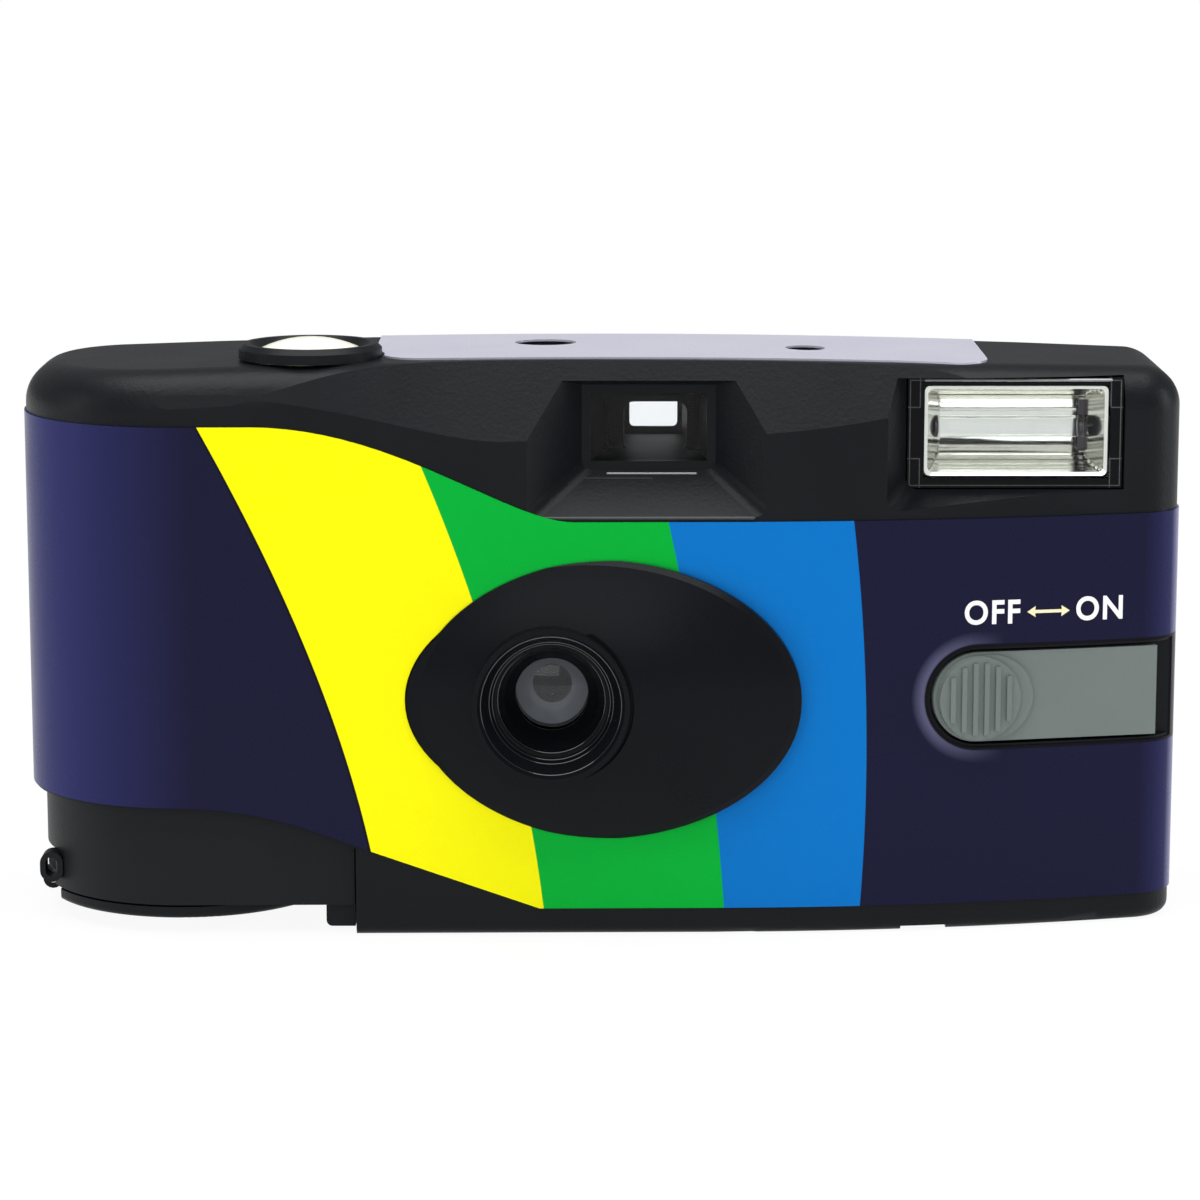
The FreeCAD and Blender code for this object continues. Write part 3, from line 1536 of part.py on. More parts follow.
def metering_lever():
    shape = joined([
        rod_z(metering_x, metering_y, lever_z, lever_top_z, lever_hub_radius),
        arm(metering_x, metering_y, metering_arm_x, metering_arm_y, lever_z, lever_top_z, lever_width),
        arm(metering_x, metering_y, metering_x, metering_nose_y, lever_z, lever_top_z, lever_width),
        rod_z(metering_arm_x, metering_arm_y, lever_top_z - shaft_gap, lever_top_z + metering_peg_height,
              metering_peg_radius),
    ])
    return shape.cut(rod_z(metering_x, metering_y, lever_z - overrun, lever_top_z + overrun,
                           pivot_radius + shaft_gap))


def striker_lever():
    half = striker_finger_width / 2
    finger = box(striker_nose_x - half, striker_nose_x + half, striker_nose_y - half, striker_nose_y + half,
                 striker_finger_end_z, lever_top_z)
    shape = joined([
        rod_z(striker_x, striker_y, lever_z, lever_top_z, lever_hub_radius),
        arm(striker_x, striker_y, striker_arm_x, striker_arm_y, lever_z, lever_top_z, lever_width),
        arm(striker_x, striker_y, striker_nose_x, striker_nose_y, lever_z, lever_top_z, lever_width),
        finger,
    ])
    return shape.cut(rod_z(striker_x, striker_y, lever_z - overrun, lever_top_z + overrun,
                           pivot_radius + shaft_gap))


def lever_spring(x, y, turn):
    z0 = lever_top_z + rest_gap
    z1 = z0 + spring_sleeve_height
    coil = ring_z(x, y, z0, z1, spring_sleeve_radius, spring_sleeve_radius - spring_sleeve_wall)
    leg = box(x, x + spring_leg_length, y + spring_sleeve_radius - spring_leg, y + spring_sleeve_radius,
              z0, z0 + spring_leg)
    leg.rotate(V(x, y, 0), V(0, 0, 1), turn)
    return joined([coil, leg])


# Film advance

def thumbwheel():
    top = wheel_bottom_z + wheel_thickness
    disc = rod_z(grip_x, grip_y, wheel_bottom_z, top, wheel_radius)
    pitch = 2 * math.pi * wheel_radius / wheel_notches
    half = pitch * wheel_notch_share / 2
    notches = []
    for index in range(wheel_notches):
        notch = prism_z([
            (wheel_radius - wheel_notch_depth, 0),
            (wheel_radius + wheel_notch_depth, -half * 2),
            (wheel_radius + wheel_notch_depth, half * 2),
        ], wheel_bottom_z - overrun, top + overrun)
        notch.rotate(V(0, 0, 0), V(0, 0, 1), 360 * index / wheel_notches)
        notch.translate(V(grip_x, grip_y, 0))
        notches.append(notch)
    disc = disc.cut(Part.makeCompound(notches))
    dish = rod_z(grip_x, grip_y, top - wheel_dish_depth, top + overrun, wheel_dish_radius)
    under = ring_z(grip_x, grip_y, wheel_bottom_z - overrun, wheel_bottom_z + wheel_dish_depth,
                   wheel_dish_radius, wheel_hub_radius + wheel_dish_depth)
    disc = disc.cut(dish).cut(under)
    hub = rod_z(grip_x, grip_y, deck_top_z + rest_gap, top, wheel_hub_radius)
    shaft = rod_z(grip_x, grip_y, deck_z - rest_gap, wheel_bottom_z, wheel_shaft_radius)
    fork = rod_z(grip_x, grip_y, wheel_fork_end_z, deck_z, wheel_fork_radius)
    slot = box(grip_x - wheel_fork_slot / 2, grip_x + wheel_fork_slot / 2, -depth, depth,
               wheel_fork_end_z - overrun, wheel_fork_end_z + wheel_fork_slot_length)
    return joined([disc, hub, shaft, fork]).cut(slot)


def ratchet_pawl():
    """The spring finger that stops the wheel from turning back."""
    z0 = wheel_bottom_z + rest_gap
    z1 = z0 + pawl_height
    angle = math.atan2(pawl_y - grip_y, pawl_x - grip_x)
    reach = math.hypot(pawl_x - grip_x, pawl_y - grip_y) - wheel_radius - rest_gap
    tip_x = pawl_x - reach * math.cos(angle)
    tip_y = pawl_y - reach * math.sin(angle)
    post = rod_z(pawl_x, pawl_y, deck_top_z, z1, pawl_post_radius)
    blade = arm(pawl_x, pawl_y, tip_x + pawl_thickness / 2, tip_y, z0, z1, pawl_thickness)
    clear = rod_z(grip_x, grip_y, z0 - overrun, z1 + overrun, wheel_radius + rest_gap)
    return joined([post, blade]).cut(clear)


def film_sprocket():
    tip = sprocket_radius - rest_gap
    body = tip - sprocket_body_drop
    z0 = sprocket_bottom_z
    z1 = z0 + sprocket_height
    solids = [rod_z(sprocket_x, sprocket_y, z0, z1, body)]
    for index in range(sprocket_teeth):
        angle = 360 * (index + 1 / 2) / sprocket_teeth
        tooth = prism_z([
            (body - sprocket_body_drop, -sprocket_tooth_width / 2),
            (tip, -sprocket_tooth_tip / 2),
            (tip, sprocket_tooth_tip / 2),
            (body - sprocket_body_drop, sprocket_tooth_width / 2),
        ], z0, z1)
        tooth.rotate(V(0, 0, 0), V(0, 0, 1), angle)
        tooth.translate(V(sprocket_x, sprocket_y, 0))
        solids.append(tooth)
    hub_top = z1 + sprocket_hub_height
    solids.append(rod_z(sprocket_x, sprocket_y, z1 - shaft_gap, hub_top, sprocket_hub_radius))
    solids.append(rod_z(sprocket_x, sprocket_y, z1, sprocket_top_z, sprocket_shaft_radius))
    finger = box(0, finger_reach, -finger_width / 2, finger_width / 2, counter_gear_z, sprocket_top_z)
    away = math.degrees(math.atan2(sprocket_y - counter_y, sprocket_x - counter_x))
    finger.rotate(V(0, 0, 0), V(0, 0, 1), away)
    finger.translate(V(sprocket_x, sprocket_y, 0))
    solids.append(finger)
    return joined(solids)


def shutter_cam():
    z1 = cam_bottom_z + cam_thickness
    disc = rod_z(sprocket_x, sprocket_y, cam_bottom_z, z1, cam_radius)
    notch = box(sprocket_x - cam_notch_width / 2, sprocket_x + cam_notch_width / 2,
                sprocket_y - cam_radius - overrun, sprocket_y - cam_radius + cam_notch_depth,
                cam_bottom_z - overrun, z1 + overrun)
    bore = rod_z(sprocket_x, sprocket_y, cam_bottom_z - overrun, z1 + overrun, sprocket_shaft_radius)
    return disc.cut(notch).cut(bore)


def counter_disc():
    top = counter_z + counter_thickness
    solids = [rod_z(counter_x, counter_y, counter_z, top, counter_radius)]
    root = counter_gear_radius - counter_tooth_depth
    points = []
    for index in range(counter_teeth):
        for share, radius in ((0, root), (1 / 2, counter_gear_radius)):
            angle = 2 * math.pi * (index + share) / counter_teeth
            points.append((counter_x + radius * math.cos(angle), counter_y + radius * math.sin(angle)))
    solids.append(prism_z(points, counter_gear_z, counter_gear_z + counter_gear_height))
    solids.append(rod_z(counter_x, counter_y, counter_gear_z, counter_z + shaft_gap, counter_hub_radius))
    bore = rod_z(counter_x, counter_y, deck_top_z, top + overrun, counter_pin_radius + shaft_gap)
    return joined(solids).cut(bore)


# Cassette and film

def cassette_shell():
    top = cassette_bottom_z + cassette_length
    tube = ring_z(grip_x, grip_y, cassette_bottom_z + cap_thickness, top - cap_thickness,
                  cassette_radius - cap_thickness,
                  cassette_radius - cap_thickness - cassette_wall)
    lip_x = grip_x + cassette_radius / 2
    y1 = film_plane_y + cassette_lip_thickness / 2
    y0 = y1 - cassette_lip_thickness
    lip = box(lip_x, lip_x + cassette_lip_reach, y0, y1, film_bottom_z - film_slot_margin,
              film_bottom_z + film_width + film_slot_margin)
    inside = rod_z(grip_x, grip_y, -depth, width, cassette_radius - cap_thickness - cassette_wall)
    slit = box(lip_x - cassette_radius, lip_x + cassette_lip_reach + overrun, film_plane_y - felt_thickness,
               film_plane_y + film_thickness + felt_thickness, film_bottom_z - film_slot_margin / 2,
               film_bottom_z + film_width + film_slot_margin / 2)
    return joined([tube, lip.cut(inside)]).cut(slit)


def cassette_caps():
    top = cassette_bottom_z + cassette_length
    caps = []
    for outer_z, inward in ((cassette_bottom_z, 1), (top, -1)):
        plate_far = outer_z + inward * cap_thickness
        rim_far = outer_z + inward * cap_rim
        plate = rod_z(grip_x, grip_y, min(outer_z, plate_far), max(outer_z, plate_far), cassette_radius)
        rim = ring_z(grip_x, grip_y, min(outer_z, rim_far), max(outer_z, rim_far), cassette_radius,
                     cassette_radius - cap_thickness)
        cap = joined([plate, rim])
        bore = rod_z(grip_x, grip_y, -depth, width, wheel_shaft_radius + spool_end_clearance)
        inner_z = outer_z + inward * cap_thickness
        lip_gap = box(grip_x + cassette_lip_start, grip_x + cassette_radius * 2,
                      film_plane_y - cassette_lip_thickness, depth,
                      inner_z - cap_rim * (1 - inward) / 2, inner_z + cap_rim * (1 + inward) / 2)
        caps.append(cap.cut(bore).cut(lip_gap))
    return Part.makeCompound(caps)


def cassette_spool():
    z0 = cassette_bottom_z + cap_thickness + rest_gap
    z1 = cassette_bottom_z + cassette_length - cap_thickness - rest_gap
    solids = [
        rod_z(grip_x, grip_y, z0, z1, spool_core_radius),
        rod_z(grip_x, grip_y, z0, z0 + spool_flange_thickness, spool_flange_radius),
        rod_z(grip_x, grip_y, z1 - spool_flange_thickness, z1, spool_flange_radius),
    ]
    bore = rod_z(grip_x, grip_y, z0 - overrun, z1 + overrun, spool_bore_radius)
    key = box(grip_x - wheel_fork_slot / 2 + shaft_gap, grip_x + wheel_fork_slot / 2 - shaft_gap,
              grip_y - spool_bore_radius, grip_y + spool_bore_radius,
              wheel_fork_end_z - wheel_fork_slot_length, wheel_fork_end_z + wheel_fork_slot_length / 2)
    return joined([joined(solids).cut(bore), key])


def light_trap_felt():
    lip_x = grip_x + cassette_radius / 2
    strips = []
    for y0 in (film_plane_y - felt_thickness, film_plane_y + film_thickness):
        strips.append(box(lip_x + cassette_lip_reach / 2, lip_x + cassette_lip_reach, y0, y0 + felt_thickness,
                          film_bottom_z, film_bottom_z + film_width))
    return Part.makeCompound(strips)


def film_strip():
    left = grip_x + cassette_radius / 2 + cassette_lip_reach / 2
    right = supply_x
    z1 = film_bottom_z + film_width
    sheet = box(left, right, film_plane_y, film_plane_y + film_thickness, film_bottom_z, z1)
    count = int((right - left) / perforation_pitch)
    holes = []
    for index in range(count):
        x = left + perforation_pitch * (index + 1 / 2)
        for z0 in (film_bottom_z + perforation_edge, z1 - perforation_edge - perforation_height):
            holes.append(box(x, x + perforation_width, film_plane_y - overrun, film_plane_y + overrun,
                             z0, z0 + perforation_height))
    return sheet.cut(Part.makeCompound(holes))


def film_roll():
    top = film_bottom_z + film_width
    return ring_z(supply_x, supply_y, film_bottom_z, top, roll_radius, supply_core_radius)


def supply_spool():
    z0 = film_bottom_z
    z1 = film_bottom_z + film_width
    flange = supply_flange_thickness
    return joined([
        rod_z(supply_x, supply_y, z0, z1, supply_core_radius),
        rod_z(supply_x, supply_y, z0 - flange, z0, supply_flange_radius),
        rod_z(supply_x, supply_y, z1, z1 + flange, supply_flange_radius),
        rod_z(supply_x, supply_y, base_z, z0 - flange + shaft_gap, supply_pin_radius),
        rod_z(supply_x, supply_y, z1 + flange - shaft_gap, deck_top_z, supply_pin_radius),
    ])


# Windows, viewfinder

def counter_window():
    plug_top = body_height - label_skin * 2
    plug_z = body_height - wall - window_thickness
    lens = counter_hole(-fit_gap).common(box(-width, width, -depth, depth, plug_z, plug_top))
    flange = counter_hole(window_flange).common(
        box(-width, width, -depth, depth, plug_z, plug_z + window_thickness / 2))
    return joined([lens, flange])


def lamp_window():
    plug_z = body_height - wall - window_thickness
    lens = rod_z(lamp_x, lamp_y, plug_z, body_height - label_skin * 2, lamp_window_radius - fit_gap)
    flange = rod_z(lamp_x, lamp_y, plug_z, plug_z + window_thickness / 2, lamp_window_radius + window_flange)
    return joined([lens, flange])


finder_front_y = finder_window_y + finder_wall
finder_tube_front_y = finder_front_y + finder_lens_thickness + shaft_gap
eye_lens_y = finder_rear_y - eye_lens_thickness


def viewfinder_housing():
    front = grown(finder_inner, finder_wall - fit_gap)
    back = [
        (eye_x - eye_half_width, eye_bottom_z),
        (eye_x + eye_half_width, eye_bottom_z),
        (eye_x + eye_half_width, eye_top_z),
        (eye_x - eye_half_width, eye_top_z),
    ]
    shape = frustum(front, finder_front_y, back, finder_rear_y)
    hollow = frustum(grown(front, -finder_wall), finder_front_y - shaft_gap, grown(back, -finder_wall),
                     finder_rear_y + shaft_gap)
    shape = shape.cut(hollow)
    mask_y = (finder_front_y + finder_rear_y) / 2
    mask = frustum(front, finder_front_y, back, finder_rear_y).common(
        box(-width, width, mask_y, mask_y + finder_wall, 0, width))
    half = eye_open_half_width + eye_open_round
    opening = rounded_box(eye_x - half, eye_x + half, mask_y - overrun, mask_y + overrun,
                          eye_open_bottom_z - eye_open_round * 2, eye_open_top_z + eye_open_round,
                          eye_open_round * 2, V(0, 1, 0))
    shape = joined([shape, mask.cut(opening)])
    feet = []
    for side in (-1, 1):
        edge = finder_x + side * (finder_window_half_width + finder_wall / 2)
        far = finder_x + side * (finder_window_half_width + finder_wall * 2 + finder_foot_width)
        feet.append(box(min(edge, far), max(edge, far), finder_front_y, finder_front_y + finder_foot_length,
                        deck_top_z, deck_top_z + finder_foot_thickness))
    hollow_front = frustum(grown(front, -finder_wall), finder_front_y - shaft_gap, grown(back, -finder_wall),
                           finder_rear_y + shaft_gap)
    lens_seat = through_window(finder_inner, finder_front_y - shaft_gap, finder_tube_front_y, 0)
    eye_seat = box(eye_x - eye_half_width + finder_wall / 2, eye_x + eye_half_width - finder_wall / 2,
                   eye_lens_y - shaft_gap, finder_rear_y + shaft_gap,
                   eye_bottom_z + finder_wall / 2, eye_top_z - finder_wall / 2)
    feet = [foot.cut(hollow_front) for foot in feet]
    return joined([shape] + feet).cut(lens_seat).cut(eye_seat)


def viewfinder_front_lens():
    shape = through_window(finder_inner, finder_front_y, finder_tube_front_y - shaft_gap, -shaft_gap)
    radius = finder_lens_hollow_radius
    middle_z = (finder_window_bottom_z + finder_window_top_z) / 2
    bowl_y = finder_tube_front_y + radius - finder_lens_thickness / 2
    bowl = Part.makeSphere(radius, V(finder_x, bowl_y, middle_z))
    return shape.cut(bowl)


def viewfinder_rear_lens():
    rim = finder_wall / 2 + shaft_gap
    shape = box(eye_x - eye_half_width + rim, eye_x + eye_half_width - rim, eye_lens_y, finder_rear_y,
                eye_bottom_z + rim, eye_top_z - rim)
    radius = eye_lens_radius
    middle_z = (eye_bottom_z + eye_top_z) / 2
    ball = Part.makeSphere(radius, V(eye_x, eye_lens_y + radius, middle_z))
    return shape.common(ball)


# Flash

def flash_cover():
    """Clear window with a shallow skirt and two clips at each end."""
    outer = through_window(flash_inner, flash_window_y, flash_window_y + flash_cover_depth, -fit_gap)
    inner = through_window(flash_inner, flash_window_y + flash_cover_thickness,
                           flash_window_y + flash_cover_depth + overrun, -fit_gap - flash_cover_thickness)
    return outer.cut(inner)


def flash_reflector():
    middle_z = (reflector_bottom_z + reflector_top_z) / 2
    half = (reflector_top_z - reflector_bottom_z) / 2
    back_y = reflector_front_y + reflector_depth

    def trough(inset, front):
        back = back_y - inset
        low = V(0, front, middle_z - half + inset)
        high = V(0, front, middle_z + half - inset)
        wire = Part.Wire([
            line(low, high),
            bezier([high, V(0, back, middle_z + half - inset), V(0, back, middle_z + reflector_back_half)]),
            line(V(0, back, middle_z + reflector_back_half), V(0, back, middle_z - reflector_back_half)),
            bezier([V(0, back, middle_z - reflector_back_half), V(0, back, middle_z - half + inset), low]),
        ])
        return Part.Face(wire)

    length = reflector_right_x - reflector_left_x
    outer = trough(0, reflector_front_y).extrude(V(length, 0, 0))
    outer.translate(V(reflector_left_x, 0, 0))
    inner = trough(reflector_wall, reflector_front_y).extrude(V(length - reflector_wall * 2, 0, 0))
    inner.translate(V(reflector_left_x + reflector_wall, 0, 0))
    cap = box(reflector_left_x + reflector_wall, reflector_right_x - reflector_wall,
              reflector_front_y - overrun, reflector_front_y,
              reflector_bottom_z + reflector_wall, reflector_top_z - reflector_wall)
    hole = rod_x(tube_y, middle_z, reflector_left_x - overrun, reflector_right_x + overrun,
                 tube_radius + rest_gap)
    return outer.cut(inner).cut(cap).cut(hole)


tube_z = (reflector_bottom_z + reflector_top_z) / 2
tube_left_x = reflector_left_x - tube_end_clearance
tube_right_x = reflector_right_x + tube_end_clearance


def flash_tube():
    return rod_x(tube_y, tube_z, tube_left_x, tube_right_x, tube_radius)


def flash_electrodes():
    ends = []
    for x0 in (tube_left_x - electrode_length / 2, tube_right_x):
        ends.append(rod_x(tube_y, tube_z, x0, x0 + electrode_length / 2, electrode_radius))
    return Part.makeCompound(ends)


def flash_board():
    return joined([
        box(board_left_x, board_right_x, board_y, board_y + board_thickness, board_step_z, board_top_z),
        box(board_step_x, board_right_x, board_y, board_y + board_thickness, board_bottom_z, board_step_z),
    ])


def flash_capacitor():
    top = capacitor_bottom_z + capacitor_length
    groove_top = capacitor_groove_z + capacitor_groove_height
    groove = ring_z(capacitor_x, capacitor_y, capacitor_groove_z, groove_top,
                    capacitor_radius + overrun, capacitor_radius - capacitor_groove_depth)
    return rod_z(capacitor_x, capacitor_y, capacitor_bottom_z, top, capacitor_radius).cut(groove)


def flash_transformer():
    back = board_y
    front = back - transformer_depth
    half = transformer_width / 2
    core = transformer_core_width / 2
    return joined([
        box(transformer_x - half, transformer_x + half, front, back, transformer_bottom_z,
            transformer_bottom_z + transformer_height),
        box(transformer_x - core, transformer_x + core, front + transformer_core_extra,
            back, transformer_bottom_z - transformer_core_extra,
            transformer_bottom_z + transformer_height + transformer_core_extra),
    ])


def trigger_coil():
    y = board_y - coil_radius - coil_flange
    right = coil_left_x + coil_length
    flange = coil_radius + coil_flange
    return joined([
        rod_x(y, coil_z, coil_left_x, right, coil_radius),
        rod_x(y, coil_z, coil_left_x, coil_left_x + coil_flange_thickness, flange),
        rod_x(y, coil_z, right - coil_flange_thickness, right, flange),
    ])


def ready_lamp():
    radius = lamp_radius
    top = deck_top_z + lamp_length
    lamp = rod_z(lamp_x, lamp_y, deck_top_z, top, radius)
    return lamp.makeFillet(radius / 2, [e for e in lamp.Edges if e.BoundBox.ZMin > top - shaft_gap])


def sync_contact():
    """Two thin leaves that the opening blade presses together."""
    leaves = []
    for step in (0, 1):
        y0 = front_plate_back_y + step * (sync_thickness + rest_gap)
        x0 = sync_x - front_plate_right_x + sync_foot * step
        leaves.append(box(x0, x0 + sync_width, y0, y0 + sync_thickness,
                          sync_bottom_z + step, sync_bottom_z + sync_height))
    return Part.makeCompound(leaves)


# Flash switch

def flash_switch():
    centre = switch_run(knob_x)
    end = switch_run(tongue_end_x)
    back = switch_floor - switch_gap
    front = -switch_plate_proud
    low = switch_bottom_z + switch_gap
    high = switch_top_z - switch_gap
    half_high = (high - low) / 2
    solids = [
        rod_y(centre, switch_middle_z, front, back, half_high),
        box(centre, end, front, back, low, high),
        rod_y(centre + knob_collar_offset, switch_middle_z, front - knob_collar_height, back,
              half_high - tongue_margin),
        rod_y(centre, switch_middle_z, front - knob_height, back, knob_radius),
    ]
    first = -(knob_ribs - 1) / 2
    for index in range(knob_ribs):
        x = centre + (first + index) * knob_rib_pitch
        reach = math.sqrt((knob_radius - knob_rib_width) ** 2 - (x - centre) ** 2)
        solids.append(box(x - knob_rib_width / 2, x + knob_rib_width / 2,
                          front - knob_height - knob_rib_height, front,
                          switch_middle_z - reach, switch_middle_z + reach))
    half = switch_stem_width / 2
    tall = switch_stem_height / 2
    floor_back = switch_floor + switch_floor_wall
    foot_y = floor_back + switch_gap
    solids.append(box(centre - half, centre + half, back - shaft_gap, foot_y + switch_foot_thickness,
                      switch_middle_z - tall, switch_middle_z + tall))
    solids.append(box(centre - switch_foot_width / 2, centre + switch_foot_width / 2, foot_y,
                      foot_y + switch_foot_thickness, switch_middle_z - switch_foot_height / 2,
                      switch_middle_z + switch_foot_height / 2))
    return placed_switch(joined(solids))


def switch_contact():
    """The bent leaf on the board that the switch's foot closes."""
    z0 = switch_middle_z - contact_height / 2
    base = box(board_step_x, board_step_x + contact_width, board_y - contact_leaf, board_y, z0,
               z0 + contact_height)
    leaf = box(board_step_x, board_step_x + contact_leaf, board_y - contact_reach, board_y, z0,
               z0 + contact_height / 2)
    return joined([base, leaf])


# Battery

def battery():
    top = battery_bottom_z + battery_length
    return joined([
        rod_z(battery_x, battery_y, battery_bottom_z, top, battery_radius),
        rod_z(battery_x, battery_y, top - shaft_gap, top + battery_nub_height, battery_nub_radius),
    ])


def battery_contacts():
    half = contact_plate_half
    top = battery_bottom_z + battery_length + battery_nub_height
    plates = []
    for z0 in (battery_bottom_z - contact_plate, top):
        plates.append(box(battery_x - half, battery_x + half, board_y + board_thickness, battery_y + half,
                          z0, z0 + contact_plate))
    return Part.makeCompound(plates)


pieces = {
    "front_cover": front_cover,
    "rear_cover": rear_cover,
    "chassis": chassis,
    "light_cone": light_cone,
    "lens_panel": lens_panel,
    "front_label": front_label,
    "top_label": top_label,
    "film_door": film_door,
    "film_door_pin": film_door_pin,
    "battery_door": battery_door,
    "battery_door_pin": battery_door_pin,
    "button_collar": button_collar,
    "shutter_button": shutter_button,
    "taking_lens": taking_lens,
    "lens_retainer": lens_retainer,
    "aperture_plate": aperture_plate,
    "shutter_blade": shutter_blade,
    "blade_spring": blade_spring,
    "striker_lever": striker_lever,
    "striker_spring": lambda: lever_spring(striker_x, striker_y, 0),
    "metering_lever": metering_lever,
    "metering_spring": lambda: lever_spring(metering_x, metering_y, 180),
    "thumbwheel": thumbwheel,
    "ratchet_pawl": ratchet_pawl,
    "film_sprocket": film_sprocket,
    "shutter_cam": shutter_cam,
    "counter_disc": counter_disc,
    "counter_window": counter_window,
    "lamp_window": lamp_window,
    "viewfinder_housing": viewfinder_housing,
    "viewfinder_front_lens": viewfinder_front_lens,
    "viewfinder_rear_lens": viewfinder_rear_lens,
    "cassette_shell": cassette_shell,
    "cassette_caps": cassette_caps,
    "cassette_spool": cassette_spool,
    "light_trap_felt": light_trap_felt,
    "film_strip": film_strip,
    "film_roll": film_roll,
    "supply_spool": supply_spool,
    "flash_cover": flash_cover,
    "flash_reflector": flash_reflector,
    "flash_tube": flash_tube,
    "flash_electrodes": flash_electrodes,
    "flash_board": flash_board,
    "flash_capacitor": flash_capacitor,
    "flash_transformer": flash_transformer,
    "trigger_coil": trigger_coil,
    "ready_lamp": ready_lamp,
    "sync_contact": sync_contact,
    "flash_switch": flash_switch,
    "switch_contact": switch_contact,
    "battery": battery,
    "battery_contacts": battery_contacts,
}


def main():
    os.makedirs("parts", exist_ok=True)
    for name, make in pieces.items():
        saved(name, make())


if __name__ == "__main__":
    main()
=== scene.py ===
"""The looks of a single-use film camera with a built-in flash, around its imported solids."""

import logging
import math
from abc import ABC, abstractmethod
from dataclasses import dataclass
from enum import Enum
from typing import Iterable, Optional, Sequence, Union

import bmesh
import bpy
from mathutils import Matrix, Vector


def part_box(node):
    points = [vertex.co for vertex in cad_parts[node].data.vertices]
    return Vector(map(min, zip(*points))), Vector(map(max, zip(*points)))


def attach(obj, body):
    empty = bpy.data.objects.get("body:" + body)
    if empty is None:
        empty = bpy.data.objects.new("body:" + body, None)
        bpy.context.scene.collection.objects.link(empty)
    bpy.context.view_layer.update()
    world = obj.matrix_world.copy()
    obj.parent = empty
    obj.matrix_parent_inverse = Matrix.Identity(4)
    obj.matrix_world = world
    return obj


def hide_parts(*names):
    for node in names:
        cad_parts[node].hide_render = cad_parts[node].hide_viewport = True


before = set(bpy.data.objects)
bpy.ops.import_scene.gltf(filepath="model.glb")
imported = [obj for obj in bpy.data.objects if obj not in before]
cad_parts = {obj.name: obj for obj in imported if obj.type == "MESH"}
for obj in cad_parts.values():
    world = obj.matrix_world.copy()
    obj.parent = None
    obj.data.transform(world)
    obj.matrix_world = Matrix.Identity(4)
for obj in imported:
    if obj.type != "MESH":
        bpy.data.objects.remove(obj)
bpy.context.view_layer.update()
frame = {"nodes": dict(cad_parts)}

LOG = logging.getLogger("camera")
MM = 0.001
SEED = 7

Colour = tuple[float, float, float]
Point = tuple[float, float, float]
Box = tuple[Vector, Vector]
WHITE: Colour = (1.0, 1.0, 1.0)


def linear(part: int) -> float:
    """Returns one part of a screen colour, from 0 to 255, as a linear share."""
    share = part / 255
    return share / 12.92 if share <= 0.04045 else ((share + 0.055) / 1.055) ** 2.4


def srgb(red: int, green: int, blue: int) -> Colour:
    """Returns a screen colour as the linear one that shaders take."""
    return linear(red), linear(green), linear(blue)


def scaled(colour: Colour, share: float) -> Colour:
    """Returns a colour at a share of its strength."""
    return tuple(part * share for part in colour)


def middle_of(node: str) -> Vector:
    """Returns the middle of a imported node."""
    low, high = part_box(node)
    return (low + high) / 2


class Axis(Enum):
    """A direction of the camera's own frame."""

    X = 0
    Y = 1
    Z = 2

    def unit(self) -> Vector:
        """Returns the direction as a vector of length 1."""
        return Vector(float(place == self.value) for place in range(3))


class Signal:
    """A shader socket that takes part in sums."""

    def __init__(self, recipe: "Recipe", socket: bpy.types.NodeSocket) -> None:
        """Keeps the socket and the recipe that it belongs to."""
        self.recipe = recipe
        self.socket = socket

    def _sum(self, operation: str, *values: "Value") -> "Signal":
        """Adds a Math node with the given inputs and returns its result."""
        return self.recipe.node("ShaderNodeMath", {"operation": operation}, dict(enumerate(values)))

    def __add__(self, other: "Value") -> "Signal":
        """Adds."""
        return self._sum("ADD", self, other)

    __radd__ = __add__

    def __sub__(self, other: "Value") -> "Signal":
        """Takes other away."""
        return self._sum("SUBTRACT", self, other)

    def __rsub__(self, other: "Value") -> "Signal":
        """Is taken away from other."""
        return self._sum("SUBTRACT", other, self)

    def __mul__(self, other: "Value") -> "Signal":
        """Multiplies."""
        return self._sum("MULTIPLY", self, other)

    __rmul__ = __mul__

    def __truediv__(self, other: "Value") -> "Signal":
        """Divides."""
        return self._sum("DIVIDE", self, other)

    def absolute(self) -> "Signal":
        """Returns the size without its sign."""
        return self._sum("ABSOLUTE", self)

    def whole(self) -> "Signal":
        """Returns the whole number below."""
        return self._sum("FLOOR", self)

    def fraction(self) -> "Signal":
        """Returns what is left after the whole number."""
        return self._sum("FRACT", self)

    def root(self) -> "Signal":
        """Returns the square root."""
        return self._sum("SQRT", self)

    def lowest(self, other: "Value") -> "Signal":
        """Returns the smaller of the two."""
        return self._sum("MINIMUM", self, other)

    def highest(self, other: "Value") -> "Signal":
        """Returns the larger of the two."""
        return self._sum("MAXIMUM", self, other)

    def swing(self, width: float) -> "Signal":
        """Returns noise from 0 to 1 as a swing of a given width about 0."""
        return (self - 0.5) * width

    def past(self, edge: "Value", softness: float) -> "Signal":
        """Rises from 0 to 1 where this signal passes an edge, over a width of softness."""
        rise = (self - edge) / softness + 0.5
        return rise.highest(0.0).lowest(1.0)

    def between(self, low: float, high: float, softness: float) -> "Signal":
        """Returns 1 between two edges and 0 outside them."""
        return self.past(low, softness) * (1 - self.past(high, softness))


Value = Union[Signal, float, int, Sequence[float]]


